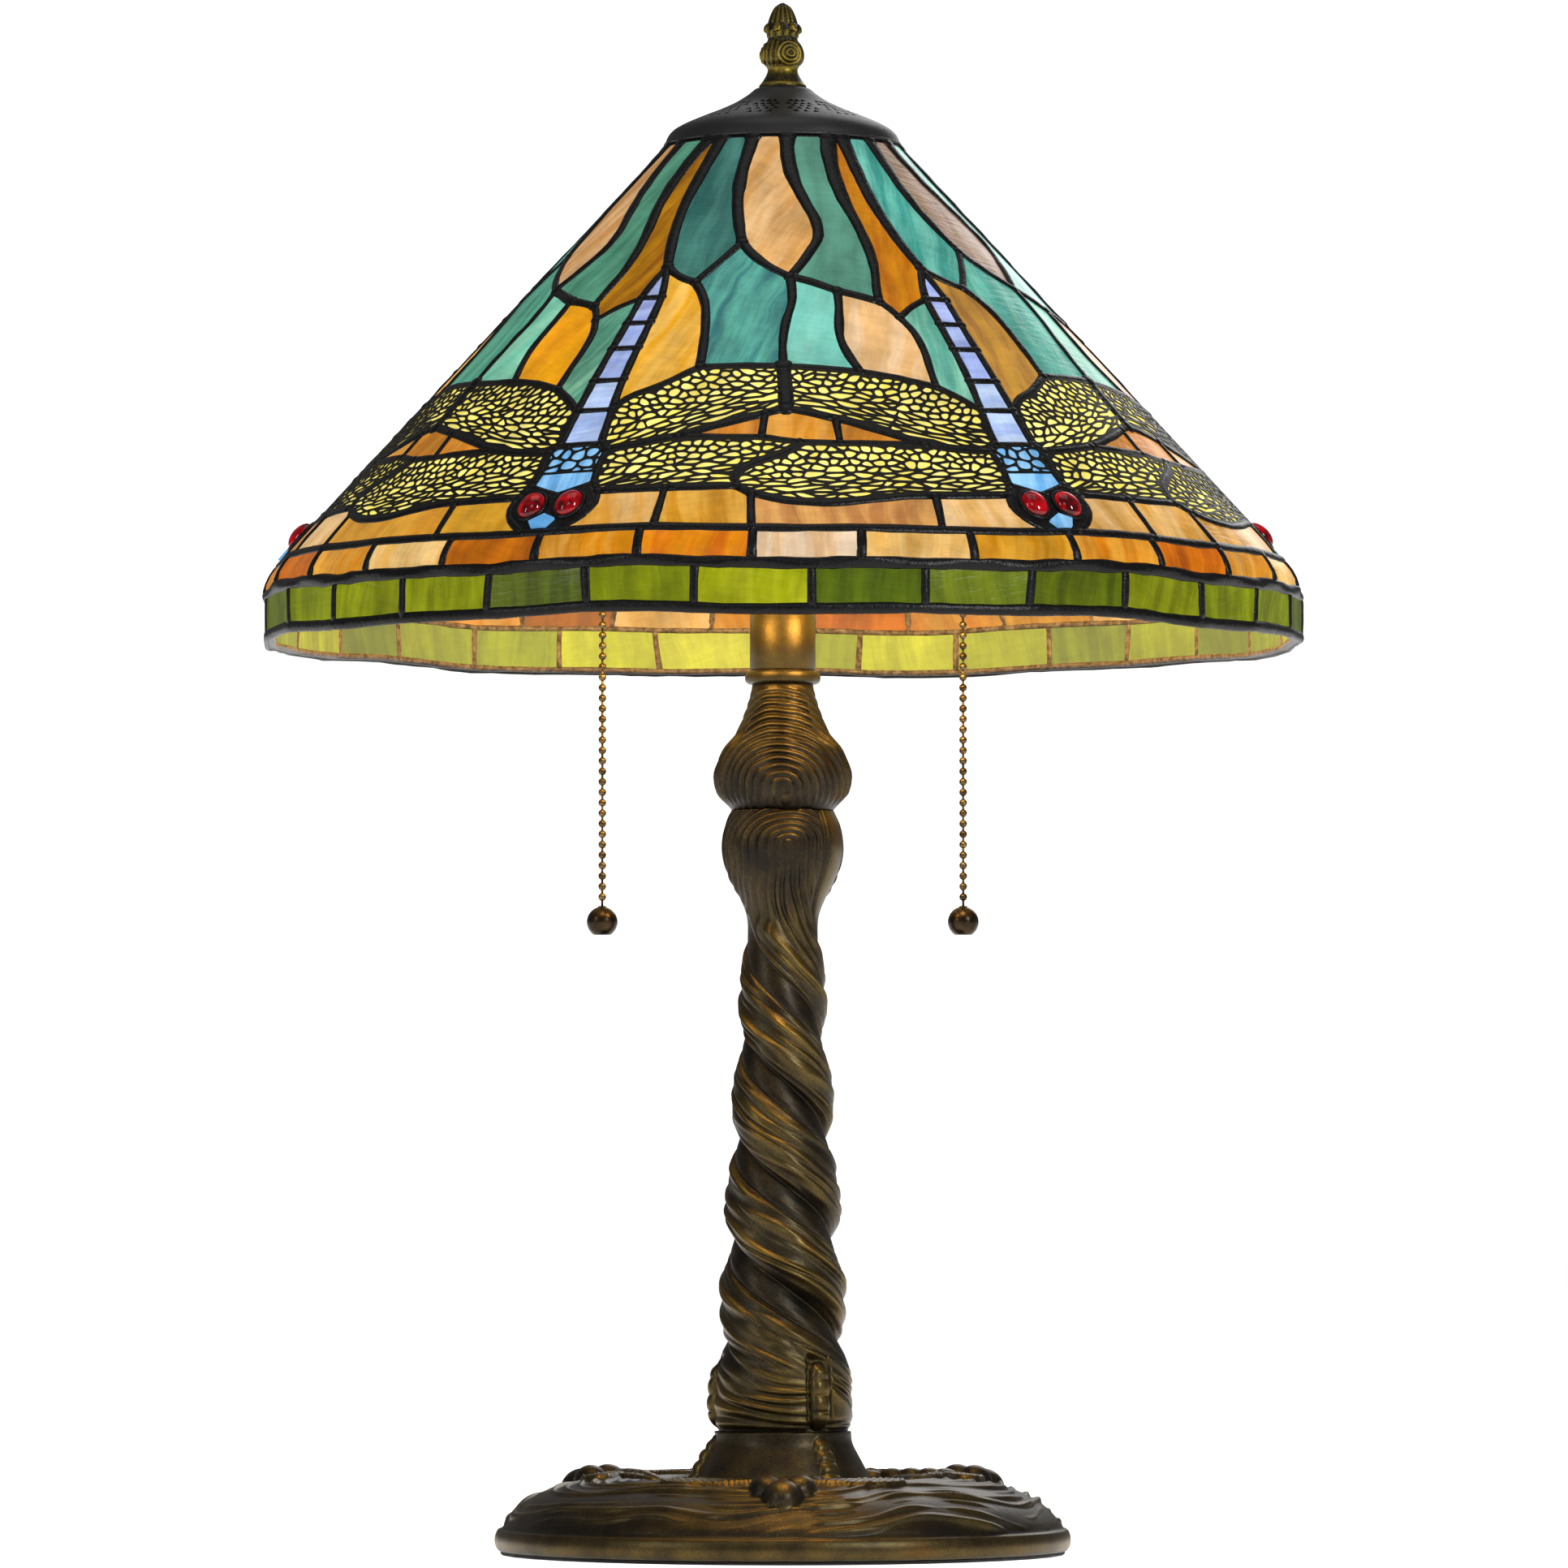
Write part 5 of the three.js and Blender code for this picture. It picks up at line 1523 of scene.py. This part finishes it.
def bead_string(x, low, high):
    """Hollow beads on short links, from a low height to a high one."""
    shape = Shape()
    count = int((high - low - 2 * BEAD_R) // BEAD_PITCH) + 1
    start = high - BEAD_R - (count - 1) * BEAD_PITCH
    t = np.linspace(0, math.pi, 9)
    for k in range(count):
        z = start + k * BEAD_PITCH
        profile = [(BEAD_R * math.sin(b) if 0 < i < 8 else 0, z + BEAD_R * math.cos(b))
                   for i, b in enumerate(t)]
        shape.add(*turned(profile, 14, (x, 0)))
    return shape.add(*turned([(0, high - 0.4), (0.45, high - 0.4), (0.45, low), (0, low)], 8, (x, 0)))


def pull_chains():
    """Each chain's beads inside its switch, its coupling, the beads below and the ball at the end."""
    bell = [(0, 379), (1.3, 378.9), (2.0, 378.2), (2.3, 376.5), (2.2, 375), (2.45, 373.6), (2.3, 373),
            (0, 373)]
    ball = [(0, BALL_Z + BALL_R + 0.3), (1.5, BALL_Z + BALL_R + 0.2)]
    ball += [(BALL_R * math.sin(b), BALL_Z + BALL_R * math.cos(b))
             for b in np.linspace(0.28, math.radians(135), 20)]
    ball += [(3.7, BALL_Z - 4.75), (3.2, BALL_Z - 5.05), (0, BALL_Z - 5.05)]
    for side, sign in SIDES.items():
        x = sign * CHAIN_X
        beads = bead_string(x, 379.9, top("switch_chain_right"))
        make(f"switch_beads_{side}", beads, f"switch_chain_{side}", "chain", [f"switch_chain_{side}"])
        make_turned(f"chain_bell_{side}", bell, 20, f"chain_link_{side}", "chain",
                    [f"chain_coupling_{side}"], "polished_brass", x)
        beads = bead_string(x, BALL_Z + BALL_R - 0.8, top("pull_chain_right"))
        make(f"pull_beads_{side}", beads, f"pull_chain_{side}", "chain", [f"pull_chain_{side}"])
        make_turned(f"pull_knob_{side}", ball, 48, f"pull_chain_{side}", "ball", [f"pull_ball_{side}"],
                    "antique_bronze", x)


# ---- Socket cluster ----
SOCKET_X = middle_x("socket_shell_right")
SOCKET_CAP = [(5, 392), (11, 392), (13.6, 393.4), (16.2, 397), (17, 400), (17, 407.6), (17.5, 408.4),
              (17.5, 409.4), (17, 410), (16, 410), (16, 400), (13, 395), (11, 393.2), (5, 393.2)]
SOCKET_SHELL = [(16.4, 410.3), (16.4, 414), (16.9, 415), (16.9, 416.6), (16.4, 417.6), (16.4, 430),
                (17, 431.4), (17.3, 437.6), (17.0, 439), (15.8, 439), (15.8, 431.5), (15.4, 430.5),
                (15.4, 410.3)]
BULB = [(13.2, 440), (13.4, 444), (14.6, 450), (17, 456), (20.6, 462.5), (25, 470), (28.4, 478), (29.8, 487),
        (28.9, 495), (25.6, 503), (20, 509.8), (12.5, 514.6), (5.5, 516.6), (0, 517)]
ARM_R, SPOUT_R = 4.2, 3.3
ARM_Z = round(bottom("cluster_arm_right") + ARM_R, 1)
SPOUT_Z = round(top("chain_spout_right") - SPOUT_R, 1)


def elbow(start_x, level, corner_x, end_z, bend):
    """A level run that bends and goes straight up or down."""
    away = math.copysign(bend, end_z - level)
    curve = [(corner_x - bend + bend * math.sin(t), 0, level + away * (1 - math.cos(t)))
             for t in np.linspace(0, math.pi / 2, 8)]
    return np.array([(start_x, 0, level), *curve, (corner_x, 0, end_z)])


def sockets():
    """Socket covers and sleeves, bulbs, the arms that carry them and the chains' spouts."""
    outer = smooth_line(BULB, 1.5)
    inner = [(r, z - (0.9 if z > 487 else 0)) for r, z in (outer - [0.9, 0])[::-1] if r > 0.4]
    glass = [(0, 516), *inner, *outer[:-1].tolist(), (0, 517)]
    arm_start, spout_start = [extent(node, "x")[0] for node in ("cluster_arm_right", "chain_spout_right")]
    arm = elbow(arm_start, ARM_Z, SOCKET_X, top("cluster_arm_right"), 6)
    spout = elbow(spout_start, SPOUT_Z, CHAIN_X, bottom("chain_spout_right"), 3.4)
    for side, sign in SIDES.items():
        x = sign * SOCKET_X
        make_turned(f"socket_cover_{side}", SOCKET_CAP[::-1], 64, "stand", "brass", [f"socket_cap_{side}"],
                    "polished_brass", x)
        make_turned(f"socket_sleeve_{side}", SOCKET_SHELL[::-1], 64, "stand", "brass",
                    [f"socket_shell_{side}"], "polished_brass", x)
        bulb = make_turned(f"bulb_glass_{side}", glass, 64, "stand", "bulb", [f"bulb_envelope_{side}"],
                           "bulb_glass", x)
        bulb.visible_shadow = False
        for name, path, radius, node, finish, slot in (
            ("arm_bar", arm, ARM_R, "cluster_arm", "cap", "dark_cap"),
            ("spout_bend", spout, SPOUT_R, "chain_spout", "brass", "polished_brass"),
        ):
            shape = Shape().add(*swept(path * [sign, 1, 1], radius, 20))
            make(f"{name}_{side}", shape, "stand", finish, [f"{node}_{side}"])


def kept_nodes():
    """CAD nodes that are shown as they are, with finishes of their own."""
    kept = {
        "felt": ["felt_pad"],
        "iron": ["ballast_ring"],
        "steel": ["foot_washer", "foot_nut", "lamp_pipe", "riser_rod", "riser_nut", "bulb_cap_left",
                  "bulb_cap_right"],
        "phenolic": ["cord_bushing", "socket_switch_left", "socket_switch_right"],
        # The shade's spider and top ring take the dark cap finish in place of brass: painted shade under the
        # cap's vents.
        "cap": ["cluster_hub", "shade_spider", "shade_top_ring"],
    }
    for finish, nodes in kept.items():
        for node in nodes:
            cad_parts[node].data.materials.clear()
            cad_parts[node].data.materials.append(FINISHES[finish])


# ---- Stage, in metres ----
FLOOR_R, DOME_R = 14, 13.5
CAMERA_PLACE = (0.0005, -3.395, 0.140)
CAMERA_RISE_DEG = 2.702  # how far it looks up
LENS, SENSOR_W = 199.4, 36  # in millimetres


def stage_piece(name, vertices, faces, material):
    """A part of the set round the lamp, from vertices in metres."""
    mesh = bpy.data.meshes.new(name)
    mesh.from_pydata(vertices, [], faces)
    mesh.materials.append(material)
    piece = in_scene(name, mesh)
    return piece


def studio():
    """A pale floor and a white surround that only the camera sees, in dim even light."""
    scene = bpy.context.scene
    scene.view_settings.view_transform = "Standard"
    scene.world = bpy.data.worlds.new("surround")
    scene.world.use_nodes = True
    background = scene.world.node_tree.nodes["Background"]
    background.inputs["Color"].default_value = (1, 1, 1, 1)
    background.inputs["Strength"].default_value = 0.14
    pale = plain("pale_floor", "#eeeeee", "#f6f6f6", 0.8, Emission_Color=(1, 1, 1, 1),
                 Emission_Strength=0.88, Specular_IOR_Level=0.0)
    white = plain("white_surround", "#ffffff", "#ffffff", 0.9, Emission_Color=(1, 1, 1, 1),
                  Emission_Strength=1.0)
    circle = around(FLOOR_R, np.arange(64) * TURN / 64, 0)
    floor = stage_piece("floor", circle.tolist(), [list(range(64))], pale)
    floor.visible_diffuse = False
    tilts = np.radians(np.linspace(84, -6, 16))
    half_arch = [(0, DOME_R), *[(DOME_R * math.cos(t), DOME_R * math.sin(t)) for t in tilts]]
    vertices, faces = turned(half_arch, 64)
    dome = stage_piece("surround_dome", vertices.tolist(), faces, white)
    for kind in ("diffuse", "glossy", "transmission", "volume_scatter", "shadow"):
        setattr(dome, f"visible_{kind}", False)


def lamp_light(name, place, energy, radius, colour):
    """A warm light inside the shade."""
    light = bpy.data.lights.new(name, "POINT")
    light.energy, light.shadow_soft_size, light.color = energy, radius * MM, colour
    in_scene(name, light).location = Vector(place) * MM


def softbox(name, place, target, size, energy):
    """A large rectangular light, in metres, aimed at a place on the lamp."""
    light = bpy.data.lights.new(name, "AREA")
    light.shape, light.size, light.size_y, light.energy = "RECTANGLE", size[0], size[1], energy
    box = in_scene(name, light)
    box.location = place
    box.rotation_euler = (Vector(target) - Vector(place)).to_track_quat("-Z", "Y").to_euler()
    box.visible_camera = False


def lights():
    """The lamp's own light, and a soft studio round it."""
    for side, sign in SIDES.items():
        lamp_light(f"bulb_glow_{side}", (sign * SOCKET_X, 0, 480), 2.6, 30, (1.0, 0.68, 0.36))
        energy = 0.8 if side == "left" else 1.5
        lamp_light(f"shade_glow_{side}", (sign * 60, -70, 400), energy, 32, (1.0, 0.58, 0.2))
    softbox("front_right_light", (1.8, -2.2, 1.6), (0, 0, 0.25), (0.35, 0.9), 48)
    softbox("front_left_light", (-2.1, -1.7, 1.3), (0, 0, 0.25), (0.3, 1.2), 14)
    softbox("front_top_light", (-0.4, -2.3, 2.3), (0, 0, 0.1), (0.7, 0.7), 5)
    softbox("back_light", (0.6, 2.6, 1.8), (0, 0, 0.3), (1.6, 1.6), 20)
    softbox("top_light", (0, 0, 2.4), (0, 0, 0.3), (1.4, 1.4), 5)


def camera():
    """A long lens, a little below the shade's rim, that looks slightly up."""
    data = bpy.data.cameras.new("camera")
    data.lens, data.sensor_width = LENS, SENSOR_W
    data.clip_start, data.clip_end = 0.1, 100
    view = in_scene("camera", data)
    view.location = CAMERA_PLACE
    view.rotation_euler = (math.radians(90 + CAMERA_RISE_DEG), 0, 0)
    bpy.context.scene.camera = view


glaze_shade()
cast_wall("twisted_column", "column_casting", column_face, COLUMN_FOOT_Z, COLUMN_TOP_Z, 560)
cast_wall("neck_bulb", "neck_casting", neck_face, NECK[0][0], NECK[-1][0], 170)
ring_and_sleeve()
foot_casting()
vented_cap()
finial()
pull_chains()
sockets()
kept_nodes()
studio()
lights()
camera()
